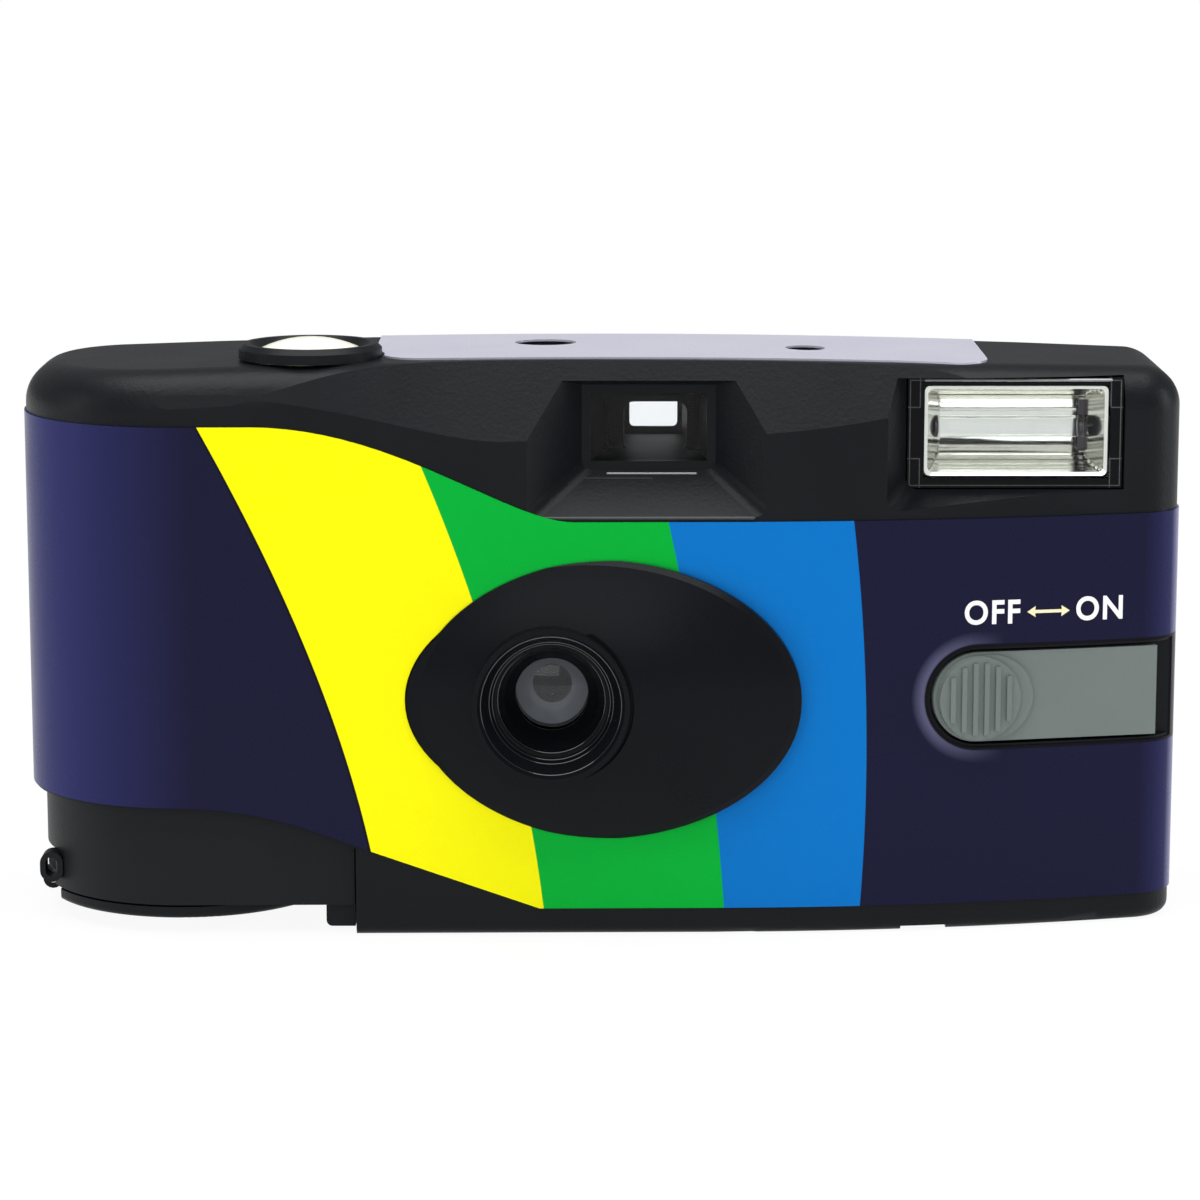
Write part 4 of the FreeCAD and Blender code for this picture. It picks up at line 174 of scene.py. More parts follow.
class Graph:
    """A node tree while it is written."""

    tree: bpy.types.NodeTree

    @staticmethod
    def find(sockets: Iterable[bpy.types.NodeSocket], key: Union[str, int]) -> bpy.types.NodeSocket:
        """Finds a socket.

        Args:
            sockets: a node's inputs or outputs.
            key: the socket's place, identifier or name.

        Returns:
            The socket.
        """
        listed = list(sockets)
        if isinstance(key, int):
            return listed[key]
        same_key = [socket for socket in listed if socket.identifier == key]
        same_name = [socket for socket in listed if socket.name == key and socket.enabled]
        return (same_key + same_name)[0]

    def add(
        self,
        kind: str,
        settings: Optional[dict] = None,
        inputs: Optional[dict] = None,
        output: Union[str, int] = 0,
    ) -> bpy.types.NodeSocket:
        """Adds a node.

        Args:
            kind: the node's type.
            settings: its own options, set first.
            inputs: numbers, colours, signals or sockets by input socket.
            output: the output socket to hand back.

        Returns:
            The wanted output.
        """
        made = self.tree.nodes.new(kind)
        for name, value in (settings or {}).items():
            setattr(made, name, value)
        for key, value in (inputs or {}).items():
            socket = self.find(made.inputs, key)
            source = value.socket if isinstance(value, Signal) else value
            if isinstance(source, bpy.types.NodeSocket):
                self.tree.links.new(source, socket)
            else:
                socket.default_value = (*source, 1.0) if socket.type == "RGBA" else source
        return self.find(made.outputs, output)


class Recipe(Graph):
    """The node tree of one material or of the world."""

    def __init__(self, owner: Union[bpy.types.Material, bpy.types.World]) -> None:
        """Empties the owner's tree."""
        owner.use_nodes = True
        self.tree = owner.node_tree
        self.tree.nodes.clear()

    def node(
        self,
        kind: str,
        settings: Optional[dict] = None,
        inputs: Optional[dict] = None,
        output: Union[str, int] = 0,
    ) -> Signal:
        """Adds a node and returns its output as a signal."""
        return Signal(self, self.add(kind, settings, inputs, output))

    def place(self) -> tuple[Signal, Signal, Signal]:
        """Returns the point's X, Y and Z in millimetres."""
        split = self.add("ShaderNodeSeparateXYZ", None, {0: self.point()})
        return tuple(Signal(self, socket) for socket in split.node.outputs)

    def point(self, stretch: Point = (1, 1, 1)) -> Signal:
        """Returns the point in millimetres, with a pattern made finer by stretch along each axis."""
        place = self.add("ShaderNodeTexCoord", output="Object")
        return self.node("ShaderNodeMapping", None, {"Vector": place, "Scale": scaled(stretch, 1 / MM)})

    def noise(self, size: float, detail: float = 2.0, stretch: Point = (1, 1, 1)) -> Signal:
        """Returns soft noise from 0 to 1.

        Args:
            size: the size of its spots in millimetres.
            detail: how many finer layers it has.
            stretch: how many times finer it is along each axis.

        Returns:
            The noise.
        """
        inputs = {"Vector": self.point(stretch), "Scale": 1 / size, "Detail": detail}
        return self.node("ShaderNodeTexNoise", None, inputs, "Fac")

    def cells(self, size: float) -> Signal:
        """Returns the distance to the nearest of scattered spots, in spot sizes."""
        inputs = {"Vector": self.point(), "Scale": 1 / size}
        return self.node("ShaderNodeTexVoronoi", None, inputs, "Distance")

    def mix(self, share: Value, first: Value, second: Value) -> Signal:
        """Returns the first colour with a share of the second."""
        inputs = {"Factor_Float": share, "A_Color": first, "B_Color": second}
        return self.node("ShaderNodeMix", {"data_type": "RGBA"}, inputs, "Result_Color")

    def relief(self, height: Value, depth: float, strength: float = 1.0) -> Signal:
        """Returns a normal that follows a height.

        Args:
            height: the relief from 0 to 1.
            depth: its full height in millimetres.
            strength: how much of it shows.

        Returns:
            The bumped normal.
        """
        inputs = {"Height": height, "Distance": depth * MM, "Strength": strength}
        return self.node("ShaderNodeBump", None, inputs, "Normal")

    def surface(self, inputs: dict[str, Value]) -> Signal:
        """Returns the general surface shader with the given inputs."""
        return self.node("ShaderNodeBsdfPrincipled", None, inputs)

    def blend(self, share: Value, first: Signal, second: Signal) -> Signal:
        """Returns the first shader with a share of the second."""
        return self.node("ShaderNodeMixShader", None, {0: share, 1: first, 2: second})

    def seen_by(self, *rays: str) -> Signal:
        """Returns 1 for the named kinds of ray and 0 for others."""
        seen, *others = [self.node("ShaderNodeLightPath", output=f"Is {ray} Ray") for ray in rays]
        for other in others:
            seen = seen.highest(other)
        return seen

    def finish(self, shader: Signal, kind: str = "ShaderNodeOutputMaterial") -> None:
        """Links the last shader to the surface of an output of the given kind."""
        out = self.tree.nodes.new(kind)
        self.tree.links.new(shader.socket, out.inputs["Surface"])


class Finish(ABC):
    """A surface finish that makes its material once.

    Attributes:
        name: the material's name.
    """

    name: str

    @abstractmethod
    def shader(self, recipe: Recipe) -> Signal:
        """Writes the finish into an empty recipe and returns the last shader."""

    def material(self) -> bpy.types.Material:
        """Returns the finish's material, made on its first use."""
        material = bpy.data.materials.get(self.name)
        if material is None:
            material = bpy.data.materials.new(self.name)
            recipe = Recipe(material)
            recipe.finish(self.shader(recipe))
        return material


@dataclass(frozen=True)
class MouldedPlastic(Finish):
    """Opaque moulded plastic with an eroded grain.

    Attributes:
        colour: its colour.
        roughness: its mean roughness.
        grain: the size of the grain's spots in millimetres.
        depth: the grain's depth in millimetres.
        mottle: how far the colour varies, as a share.
        coat: the strength of a polished skin.
        specular: how strongly the bare plastic reflects.
        cloud: the size in millimetres of the slow changes of gloss and tint.
    """

    name: str
    colour: Colour
    roughness: float = 0.42
    grain: float = 0.4
    depth: float = 0.012
    mottle: float = 0.1
    coat: float = 0.0
    specular: float = 0.2
    cloud: float = 9.0

    def shader(self, recipe: Recipe) -> Signal:
        """Returns a grained plastic with slow changes of gloss and tint."""
        cloud = recipe.noise(self.cloud, 3.0)
        grain = recipe.noise(self.grain)
        lift = 0.004 * self.mottle
        lighter = tuple(min(1.0, part + lift) for part in scaled(self.colour, 1 + self.mottle))
        darker = scaled(self.colour, 1 - self.mottle)
        return recipe.surface({
            "Base Color": recipe.mix(cloud * 0.7 + grain * 0.3, darker, lighter),
            "Roughness": self.roughness + cloud.swing(0.12) + grain.swing(0.10),
            "Normal": recipe.relief(grain + recipe.cells(self.grain * 1.7) * 0.5, self.depth),
            "Specular IOR Level": self.specular,
            "Coat Weight": self.coat,
            "Coat Roughness": 0.08,
        })


@dataclass(frozen=True)
class ClearPlastic(Finish):
    """Clear moulded plastic or glass.

    Attributes:
        tint: the colour of light that has passed.
        roughness: its mean roughness.
        index: its index of refraction.
    """

    name: str
    tint: Colour = (0.96, 0.98, 0.99)
    roughness: float = 0.02
    index: float = 1.49

    def shader(self, recipe: Recipe) -> Signal:
        """Returns a clear shader with faint moulding waves and haze."""
        haze = recipe.noise(0.7, 3.0)
        return recipe.surface({
            "Base Color": recipe.mix(haze, self.tint, scaled(self.tint, 0.97)),
            "Roughness": self.roughness + haze * 0.02,
            "Normal": recipe.relief(recipe.noise(2.4), 0.010, 0.5),
            "Transmission Weight": 1.0,
            "IOR": self.index,
        })


@dataclass(frozen=True)
class FramedWindow(ClearPlastic):
    """The flash's clear cover, with the black frame behind its border and painted highlights along the
    cover's edges.

    Attributes:
        margin: how far the clear part reaches past the reflector's rim, in millimetres.
        softness: how soft an edge is.
        frame: the frame's colour.
        line: the colour of the cover's bright edges: painted highlight on the frame.
        line_at: how far inside the cover's ends the outer bright edge lies.
        line_width: half the width of a bright edge.
        line_softness: how soft its sides are.
        clip: how far a clip reaches in from a corner in X and Z.
    """

    name: str = "flash_window_plastic"
    index: float = 1.18
    margin: float = 0.02
    softness: float = 0.06
    frame: Colour = srgb(10, 11, 14)
    line: Colour = srgb(88, 92, 92)
    line_at: float = 0.22
    line_width: float = 0.05
    line_softness: float = 0.04
    clip: tuple = (1.2, 2.9)

    def edge(self, distance: Signal, place: float) -> Signal:
        """Returns a painted highlight line at a distance."""
        return 1 - (distance - place).absolute().past(self.line_width, self.line_softness)

    def shader(self, recipe: Recipe) -> Signal:
        """Returns a clear middle inside a glossy black frame, with painted highlight lines along the cover's
        edges and clips.
        """
        x, _, z = recipe.place()
        low, high = (corner / MM for corner in ReflectorBowl(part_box("flash_reflector")).corners())
        clear = x.between(low.x - self.margin, high.x + self.margin, self.softness)
        clear = clear * z.between(low.z - self.margin, high.z + self.margin, self.softness)
        low, high = (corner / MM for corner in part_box("flash_cover"))
        from_side = (x - low.x).lowest(high.x - x)
        from_foot = (z - low.z).lowest(high.z - z)
        wide, tall = self.clip
        # Painted highlight: light lines on the frame where the cover's rim and clip edges catch the light.
        rim = self.edge(from_side.lowest(from_foot), self.line_at)
        upright = self.edge(from_side, wide) * (1 - from_foot.past(tall, self.softness))
        level = self.edge(from_foot, tall) * (1 - from_side.past(wide, self.softness))
        bright = rim.highest(upright).highest(level)
        fleck = recipe.noise(0.3)
        backed = recipe.surface({
            "Base Color": recipe.mix(bright * (0.4 + fleck * 0.8), self.frame, self.line),
            "Roughness": 0.14 + fleck * 0.1,
            "Normal": recipe.relief(fleck, 0.002),
            "Specular IOR Level": 0.10,
        })
        return recipe.blend(clear, backed, super().shader(recipe))


@dataclass(frozen=True)
class PlainMetal(Finish):
    """Bare or plated sheet metal with drawing marks.

    Attributes:
        colour: its colour.
        roughness: its mean roughness.
        stretch: how the marks are drawn out along each axis.
        depth: their depth in millimetres.
    """

    name: str
    colour: Colour
    roughness: float = 0.30
    stretch: Point = (0.08, 1.0, 1.0)
    depth: float = 0.003

    def shader(self, recipe: Recipe) -> Signal:
        """Returns a metal with fine drawn marks and faint tarnish."""
        marks = recipe.noise(0.14, 3.0, self.stretch)
        tarnish = recipe.noise(3.0, 3.0)
        return recipe.surface({
            "Base Color": recipe.mix(tarnish * 0.6 + marks * 0.3, self.colour, scaled(self.colour, 0.82)),
            "Metallic": 1.0,
            "Roughness": self.roughness + marks.swing(0.16) + tarnish.swing(0.08),
            "Normal": recipe.relief(marks, self.depth),
        })


@dataclass(frozen=True)
class FrontPrint(Finish):
    """The printed label that wraps the front: coloured swathes on navy, with painted highlights at its ends
    and round the switch slot.

    Attributes:
        navy: the ground's colour.
        ink: the colour of the thin dark line beside the first swathe.
        swathes: the swathes' colours from the left.
        curves: the left edge of each swathe, and the last one's right edge: X in millimetres as the
            factors of falling powers of the height.
        middle_z: the height in millimetres at which the curves are centred.
        span_z: the height that counts as 1 in them.
        glow: the lighter navy that the ground fades to at both ends: painted highlight at the right corner,
            and at the left end partly the print's own fade and partly painted highlight.
        fades: each fade's middle, its length (negative towards the left) and its strength.
        pale: the painted highlight that the label's turned edges catch.
        right_edge: where the painted highlight on the turned right edge begins, how long it is and how pale
            it gets.
        edge: how soft a printed edge is.
        line_width: the width of the dark line.
        slot_x: where the middle of the switch slot's rounded end lies.
        slot_radius: that end's radius.
        slot_rim: the width of the dark edge round the slot.
        slot_glow: how far outside that the painted highlight on the label's edge lies, its width and its
            strength.
        slot_glow_end: where that painted highlight has half faded towards the right, and over what length.
    """

    name: str = "printed_label"
    navy: Colour = srgb(25, 25, 51)
    ink: Colour = srgb(16, 15, 22)
    swathes: tuple[Colour, ...] = (srgb(248, 243, 5), srgb(0, 172, 54), srgb(4, 112, 192))
    curves: tuple[tuple[float, ...], ...] = (
        (0.267, -2.548, -9.37, -28.06),
        (-2.103, -7.013, -10.413),
        (-1.229, -4.084, 9.509),
        (-1.535, -1.238, 26.095),
    )
    middle_z: float = 27.0
    span_z: float = 25.0
    # The glow and its fades, pale and the slot's pale edge are painted highlight; at the left end the fade is
    # partly the print's own.
    glow: Colour = srgb(52, 54, 114)
    fades: tuple = ((-49.0, -18.0, 0.75), (56.5, 5.0, 0.6))
    pale: Colour = srgb(158, 158, 200)
    right_edge: tuple = (57.0, 1.0, 0.6)
    edge: float = 0.06
    line_width: float = 0.22
    slot_x: float = 37.4
    slot_radius: float = 4.8
    slot_rim: float = 0.55
    slot_glow: tuple = (0.2, 1.1, 0.26)
    slot_glow_end: tuple = (36.5, 7.0)

    def from_slot(self, x: Signal, z: Signal) -> Signal:
        """Returns how far a point lies outside the switch slot, which runs on to the right."""
        across = (self.slot_x - x).highest(0.0)
        above = z - middle_of("flash_switch").z / MM
        return (across * across + above * above).root() - self.slot_radius

    def past_curves(self, x: Signal, z: Signal) -> list[Signal]:
        """Returns how far a point lies to the right of each curve."""
        height = (z - self.middle_z) / self.span_z
        found = []
        for across, *terms in self.curves:
            for term in terms:
                across = height * across + term
            found.append(x - across)
        return found

    def ground(self, recipe: Recipe, x: Signal, outside: Signal) -> Signal:
        """Returns the navy with its fades and the painted highlights on its ends and edges.

        Args:
            recipe: the recipe.
            x: the point's X.
            outside: how far it lies outside the switch slot.

        Returns:
            The colour.
        """
        # Lighter navy towards both ends: painted highlight at the right corner, partly print and partly
        # painted highlight at the left end.
        lift: Value = 0.0
        for middle, length, strength in self.fades:
            lift = (x / length).past(middle / length, 1.0) * strength + lift
        # Painted highlight on the label's turned right edge.
        start, length, strength = self.right_edge
        right = x.past(start + length / 2, length) * strength
        colour = recipe.mix(right, recipe.mix(lift, self.navy, self.glow), self.pale)
        # Painted highlight on the label's edge round the left end of the switch slot, fading out to the
        # right.
        away, width, strength = self.slot_glow
        slot_highlight_share = (1 - (outside - self.slot_rim - away).absolute() / width).highest(0.0)
        return recipe.mix(slot_highlight_share * (1 - x.past(*self.slot_glow_end)) * strength, colour, self.pale)

    def shader(self, recipe: Recipe) -> Signal:
        """Returns the print under a clear film with faint ripples."""
        x, _, z = recipe.place()
        outside = self.from_slot(x, z)
        ground = self.ground(recipe, x, outside)
        distances = self.past_curves(x, z)
        half = self.line_width / 2
        colour = recipe.mix(1 - (distances[0] + half).absolute().past(half, self.edge), ground, self.ink)
        for distance, swathe in zip(distances, (*self.swathes, ground)):
            colour = recipe.mix(distance.past(0.0, self.edge), colour, swathe)
        colour = recipe.mix(1 - outside.past(self.slot_rim, self.edge * 2), colour, self.ink)
        fleck = recipe.noise(0.25)
        ripple = recipe.noise(5.0, 1.0)
        return recipe.surface({
            "Base Color": recipe.mix(fleck * 0.05, colour, self.ink),
            "Roughness": 0.27 + ripple.swing(0.10) + fleck.swing(0.05),
            "Normal": recipe.relief(ripple + fleck * 0.04, 0.05, 0.6),
            "Specular IOR Level": 0.06,
        })


@dataclass(frozen=True)
class SilverPrint(Finish):
    """The silver label on the top.

    Attributes:
        silver: its colour.
        shade: the colour of its darker flecks.
    """

    name: str = "silver_label"
    silver: Colour = srgb(214, 213, 226)
    shade: Colour = srgb(188, 187, 206)

    def shader(self, recipe: Recipe) -> Signal:
        """Returns a silvery ink under a glossy film."""
        fleck = recipe.noise(0.18, 3.0)
        ripple = recipe.noise(6.0, 1.0)
        return recipe.surface({
            "Base Color": recipe.mix(fleck * 0.6 + ripple * 0.4, self.silver, self.shade),
            "Metallic": 0.35,
            "Roughness": 0.30 + fleck.swing(0.14),
            "Normal": recipe.relief(ripple + fleck * 0.05, 0.05, 0.6),
        })


@dataclass(frozen=True)
class BandedSleeve(Finish):
    """A printed or painted sleeve with a second colour at its upper end.

    Attributes:
        colour: the main colour.
        band: the second colour.
        band_from: the height in millimetres at which the band starts.
        metallic: how metallic the sleeve is.
        roughness: its mean roughness.
    """

    name: str
    colour: Colour
    band: Colour
    band_from: float
    metallic: float
    roughness: float = 0.28

    def shader(self, recipe: Recipe) -> Signal:
        """Returns a two-coloured sleeve with shrink wrinkles."""
        _, _, z = recipe.place()
        wrinkle = recipe.noise(1.2, 2.0, (1, 1, 0.15))
        fleck = recipe.noise(0.2)
        return recipe.surface({
            "Base Color": recipe.mix(z.past(self.band_from, 0.1), self.colour, self.band),
            "Metallic": self.metallic,
            "Roughness": self.roughness + wrinkle.swing(0.12) + fleck.swing(0.06),
            "Normal": recipe.relief(wrinkle + fleck * 0.1, 0.03, 0.6),
        })


@dataclass(frozen=True)
class Plush(Finish):
    """Black velvet pile.

    Attributes:
        colour: the pile's colour.
    """

    name: str = "black_plush"
    colour: Colour = (0.010, 0.010, 0.012)

    def shader(self, recipe: Recipe) -> Signal:
        """Returns a rough pile with a soft sheen."""
        pile = recipe.noise(0.09, 3.0)
        return recipe.surface({
            "Base Color": recipe.mix(pile, self.colour, scaled(self.colour, 3.0)),
            "Roughness": 0.85 + pile.swing(0.2),
            "Normal": recipe.relief(pile, 0.08),
            "Sheen Weight": 0.4,
            "Sheen Roughness": 0.4,
        })


@dataclass(frozen=True)
class BoardFinish(Finish):
    """A circuit board: solder resist over copper tracks.

    Attributes:
        resist: the resist's colour over bare board.
        track: its colour over copper.
        pitch: the tracks' pitch in millimetres.
        track_half: half a track's width, as a share of the pitch.
    """

    name: str = "circuit_resist"
    resist: Colour = srgb(20, 92, 52)
    track: Colour = srgb(48, 138, 72)
    pitch: float = 2.54
    track_half: float = 0.22

    def shader(self, recipe: Recipe) -> Signal:
        """Returns a green board with raised tracks that jog at every third pitch of height."""
        x, _, z = recipe.place()
        inputs = {"W": (z / (self.pitch * 3)).whole()}
        jog = recipe.node("ShaderNodeTexWhiteNoise", {"noise_dimensions": "1D"}, inputs, "Value")
        along = ((x + jog * self.pitch) / self.pitch).fraction()
        raised = 1 - (along - 0.5).absolute().past(self.track_half, 0.06)
        fleck = recipe.noise(0.5)
        return recipe.surface({
            "Base Color": recipe.mix(raised, self.resist, self.track),
            "Roughness": 0.32 + fleck.swing(0.1),
            "Normal": recipe.relief(raised + fleck * 0.1, 0.035),
            "Coat Weight": 0.4,
            "Coat Roughness": 0.15,
        })


@dataclass(frozen=True)
class FilmFinish(Finish):
    """Unexposed film: a purplish grey layer on a brown base.

    Attributes:
        layer: the light-sensitive side's colour.
        base: the base's colour.
    """

    name: str = "film_surface"
    layer: Colour = srgb(120, 104, 116)
    base: Colour = srgb(70, 48, 46)

    def shader(self, recipe: Recipe) -> Signal:
        """Returns a smooth film with faint streaks along its length."""
        streak = recipe.noise(0.4, 3.0, (0.05, 1, 1))
        return recipe.surface({
            "Base Color": recipe.mix(streak, self.base, self.layer),
            "Roughness": 0.22 + streak.swing(0.1),
            "Normal": recipe.relief(streak, 0.004),
            "Coat Weight": 0.3,
            "Coat Roughness": 0.1,
        })


def ink(name: str, colour: Colour, roughness: float = 0.30) -> MouldedPlastic:
    """Returns an even printing ink."""
    return MouldedPlastic(name, colour, roughness, depth=0.002, mottle=0.02)


@dataclass(frozen=True)
class Palette:
    """Every finish of the camera."""

    cover: Finish = MouldedPlastic("black_cover_plastic", srgb(16, 18, 22), roughness=0.40, grain=0.30,
                                   depth=0.022, mottle=0.3, specular=0.13)
    panel: Finish = MouldedPlastic("lens_panel_black", srgb(14, 16, 20), roughness=0.30, grain=0.30,
                                   depth=0.006, mottle=0.12, specular=0.08)
    inner: Finish = MouldedPlastic("inner_black_plastic", srgb(22, 24, 27), roughness=0.45, grain=0.3,
                                   depth=0.014, mottle=0.18, specular=0.14)
    finder: Finish = MouldedPlastic("finder_black_plastic", srgb(6, 7, 9), roughness=0.50, grain=0.5,
                                    depth=0.0004, specular=0.08)
    polished: Finish = MouldedPlastic("polished_black_plastic", srgb(12, 13, 16), roughness=0.10, grain=0.5,
                                      depth=0.001, coat=1.0, specular=0.8)
    # A light grey glossy bead for the clear edges: its grey is painted highlight, and its gloss catches the
    # lamps.
    bead: Finish = MouldedPlastic("clear_edge_painted_highlight", srgb(112, 116, 116), roughness=0.14, grain=0.6,
                                  depth=0.001, mottle=0.05, coat=1.0, specular=1.0)
    # A grey well lighter than the cover, for the rounded edges: painted highlight.
    worn_edge: Finish = MouldedPlastic("black_edge_painted_highlight", srgb(58, 60, 63), roughness=0.36, grain=0.5,
                                       depth=0.004, mottle=0.3, specular=0.3)
    enamel: Finish = MouldedPlastic("dark_grey_enamel", srgb(118, 118, 121), depth=0.004, mottle=0.08)
    blackened: Finish = MouldedPlastic("blackened_steel", srgb(30, 30, 32), roughness=0.45, depth=0.003,
                                       mottle=0.08)
    button: Finish = MouldedPlastic("cream_button_plastic", srgb(238, 236, 222), roughness=0.22, grain=0.6,
                                    depth=0.002, mottle=0.03, coat=0.4)
    slider: Finish = MouldedPlastic("grey_switch_plastic", srgb(108, 117, 114), roughness=0.36, grain=0.35,
                                    depth=0.006, mottle=0.08)
    natural: Finish = MouldedPlastic("natural_white_plastic", srgb(222, 221, 214), roughness=0.38,
                                     depth=0.006, mottle=0.05)
    tape: Finish = MouldedPlastic("coil_tape", srgb(214, 186, 84), roughness=0.34, grain=0.8, depth=0.01,
                                  coat=0.3)
    white_ink: Finish = ink("white_ink", srgb(240, 240, 240))
    cream_ink: Finish = ink("cream_ink", srgb(240, 232, 190))
    black_ink: Finish = ink("black_ink", srgb(20, 20, 22), 0.35)
    front_label: Finish = FrontPrint()
    top_label: Finish = SilverPrint()
    clear: Finish = ClearPlastic("clear_window_plastic", index=1.18)
    flash_window: Finish = FramedWindow()
    lens: Finish = ClearPlastic("clear_lens_plastic", (0.90, 0.94, 0.98), roughness=0.01, index=1.34)
    tube: Finish = ClearPlastic("flash_tube_glass", (0.98, 0.99, 1.0), roughness=0.01, index=1.22)
    lamp: Finish = ClearPlastic("lamp_orange_plastic", srgb(255, 140, 30), roughness=0.05)
    mirror: Finish = PlainMetal("reflector_plating", srgb(237, 237, 229), roughness=0.12,
                                stretch=(0.05, 1.0, 1.0), depth=0.004)
    steel: Finish = PlainMetal("spring_steel", srgb(176, 177, 180))
    brass: Finish = PlainMetal("contact_brass", srgb(206, 168, 92))
    copper: Finish = PlainMetal("enamelled_copper", srgb(186, 104, 58), stretch=(1, 1, 1), depth=0.002)
    dark_metal: Finish = PlainMetal("electrode_metal", srgb(74, 70, 74), roughness=0.35)
    shell: Finish = BandedSleeve("cassette_paint", srgb(60, 62, 66), srgb(150, 152, 156), band_from=26.0,
                                 metallic=0.3, roughness=0.32)
    capacitor: Finish = BandedSleeve("capacitor_sleeve", srgb(28, 34, 44), srgb(168, 172, 176),
                                     band_from=27.5, metallic=0.1)
    battery: Finish = BandedSleeve("battery_sleeve", srgb(34, 36, 40), srgb(184, 128, 58), band_from=34.0,
                                   metallic=0.5)
    film: Finish = FilmFinish()
    felt: Finish = Plush()
    board: Finish = BoardFinish()

    def by_node(self) -> dict[str, Finish]:
        """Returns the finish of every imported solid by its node."""
        groups = (
            (self.cover, ("front_cover", "rear_cover", "film_door", "battery_door", "button_collar")),
            (self.panel, ("lens_panel", "lens_retainer")),
            (self.inner, ("chassis", "light_cone", "thumbwheel", "cassette_spool", "supply_spool")),
            (self.finder, ("viewfinder_housing",)),
            (self.front_label, ("front_label",)),
            (self.top_label, ("top_label",)),
            (self.button, ("shutter_button",)),
            (self.slider, ("flash_switch",)),
            (self.flash_window, ("flash_cover",)),
            (self.clear, ("viewfinder_front_lens", "viewfinder_rear_lens", "counter_window", "lamp_window")),
            (self.lens, ("taking_lens",)),
            (self.tube, ("flash_tube",)),
            (self.natural, ("metering_lever", "striker_lever", "ratchet_pawl", "film_sprocket", "shutter_cam",
                            "counter_disc")),
            (self.mirror, ("flash_reflector",)),
            (self.enamel, ("aperture_plate",)),
            (self.blackened, ("shutter_blade",)),
            (self.steel, ("blade_spring", "striker_spring", "metering_spring", "film_door_pin",
                          "battery_door_pin", "cassette_caps")),
            (self.brass, ("battery_contacts", "sync_contact", "switch_contact")),
            (self.shell, ("cassette_shell",)),
            (self.film, ("film_strip", "film_roll")),
            (self.felt, ("light_trap_felt",)),
            (self.board, ("flash_board",)),
            (self.capacitor, ("flash_capacitor",)),
            (self.tape, ("flash_transformer", "trigger_coil")),
            (self.battery, ("battery",)),
            (self.lamp, ("ready_lamp",)),
            (self.dark_metal, ("flash_electrodes",)),
        )
        return {node: finish for finish, nodes in groups for node in nodes}


PALETTE = Palette()


def linked(name: str, data: bpy.types.ID) -> bpy.types.Object:
    """Returns a new object of the scene that holds the given data."""
    made = bpy.data.objects.new(name, data)
    bpy.context.scene.collection.objects.link(made)
    return made


def evaluated(host: bpy.types.Object) -> bpy.types.Mesh:
    """Removes an object and returns what it evaluated to as a plain mesh."""
    graph = bpy.context.evaluated_depsgraph_get()
    mesh = bpy.data.meshes.new_from_object(host.evaluated_get(graph))
    bpy.data.objects.remove(host)
    return mesh


def dressed(mesh: bpy.types.Mesh, finish: Finish) -> bpy.types.Mesh:
    """Gives a mesh one finish and returns it."""
    mesh.materials.clear()
    mesh.materials.append(finish.material())
    return mesh


def placed(name: str, mesh: bpy.types.Mesh, body: str) -> bpy.types.Object:
    """Sets a mesh in the scene and lets it ride on a body.

    Args:
        name: the piece's name.
        mesh: its mesh, with its place in it.
        body: the body that carries it.

    Returns:
        The piece.
    """
    piece = linked(name, mesh)
    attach(piece, body)
    LOG.info("%s rides on %s with %d faces", name, body, len(mesh.polygons))
    return piece


def kept(name: str, work: bmesh.types.BMesh, outward: bool = True) -> bpy.types.Mesh:
    """Keeps a working mesh as a plain one and frees it.

    Args:
        name: the plain mesh's name.
        work: the working mesh.
        outward: whether its faces are turned outward first.

    Returns:
        The plain mesh.
    """
    if outward:
        bmesh.ops.recalc_face_normals(work, faces=work.faces)
    mesh = bpy.data.meshes.new(name)
    work.to_mesh(mesh)
    work.free()
    return mesh


def bridge(work: bmesh.types.BMesh, rings: Sequence[Sequence[bmesh.types.BMVert]]) -> None:
    """Joins each ring of corners to the next.

    Args:
        work: the working mesh.
        rings: the rings in order, all with as many corners, apart from poles, which have one.
    """
    sides = max(len(ring) for ring in rings)
    for near, far in zip(rings, rings[1:]):
        for step in range(sides):
            after = (step + 1) % sides
            corners = [near[place % len(near)] for place in (step, after)]
            corners += [far[place % len(far)] for place in (after, step)]
            unique = list(dict.fromkeys(corners))
            if len(unique) > 2:
                work.faces.new(unique)


def turned(profile: Sequence[tuple[float, float]], axis: Axis, centre: Vector, sides: int) -> bpy.types.Mesh:
    """Turns a profile round an axis into a closed mesh.

    Args:
        profile: places along the axis and radii, from one pole to the other.
        axis: the axis.
        centre: a point on it.
        sides: how many faces go round.

    Returns:
        The mesh.
    """
    along = axis.unit()
    across = Vector((along.z, along.x, along.y))
    third = along.cross(across)
    work = bmesh.new()
    rings = []
    for place, radius in profile:
        angles = [2 * math.pi * step / sides for step in range(sides if radius > 0 else 1)]
        spokes = [across * (radius * math.cos(turn)) + third * (radius * math.sin(turn)) for turn in angles]
        rings.append([work.verts.new(centre + along * place + spoke) for spoke in spokes])
    bridge(work, rings)
    return kept("turned", work)


def blocks(name: str, boxes: Sequence[Box], bevel: float) -> bpy.types.Mesh:
    """Makes straight blocks with small bevels.

    Args:
        name: the mesh's name.
        boxes: each block's lowest and highest corners.
        bevel: the bevels' width in metres.

    Returns:
        One mesh with every block.
    """
    work = bmesh.new()
    for low, high in boxes:
        size = Matrix.Diagonal(high - low).to_4x4()
        bmesh.ops.create_cube(work, size=1.0, matrix=Matrix.Translation((low + high) / 2) @ size)
    bmesh.ops.bevel(work, geom=work.edges[:], offset=bevel, segments=2, affect="EDGES", profile=0.5)
    return kept(name, work)


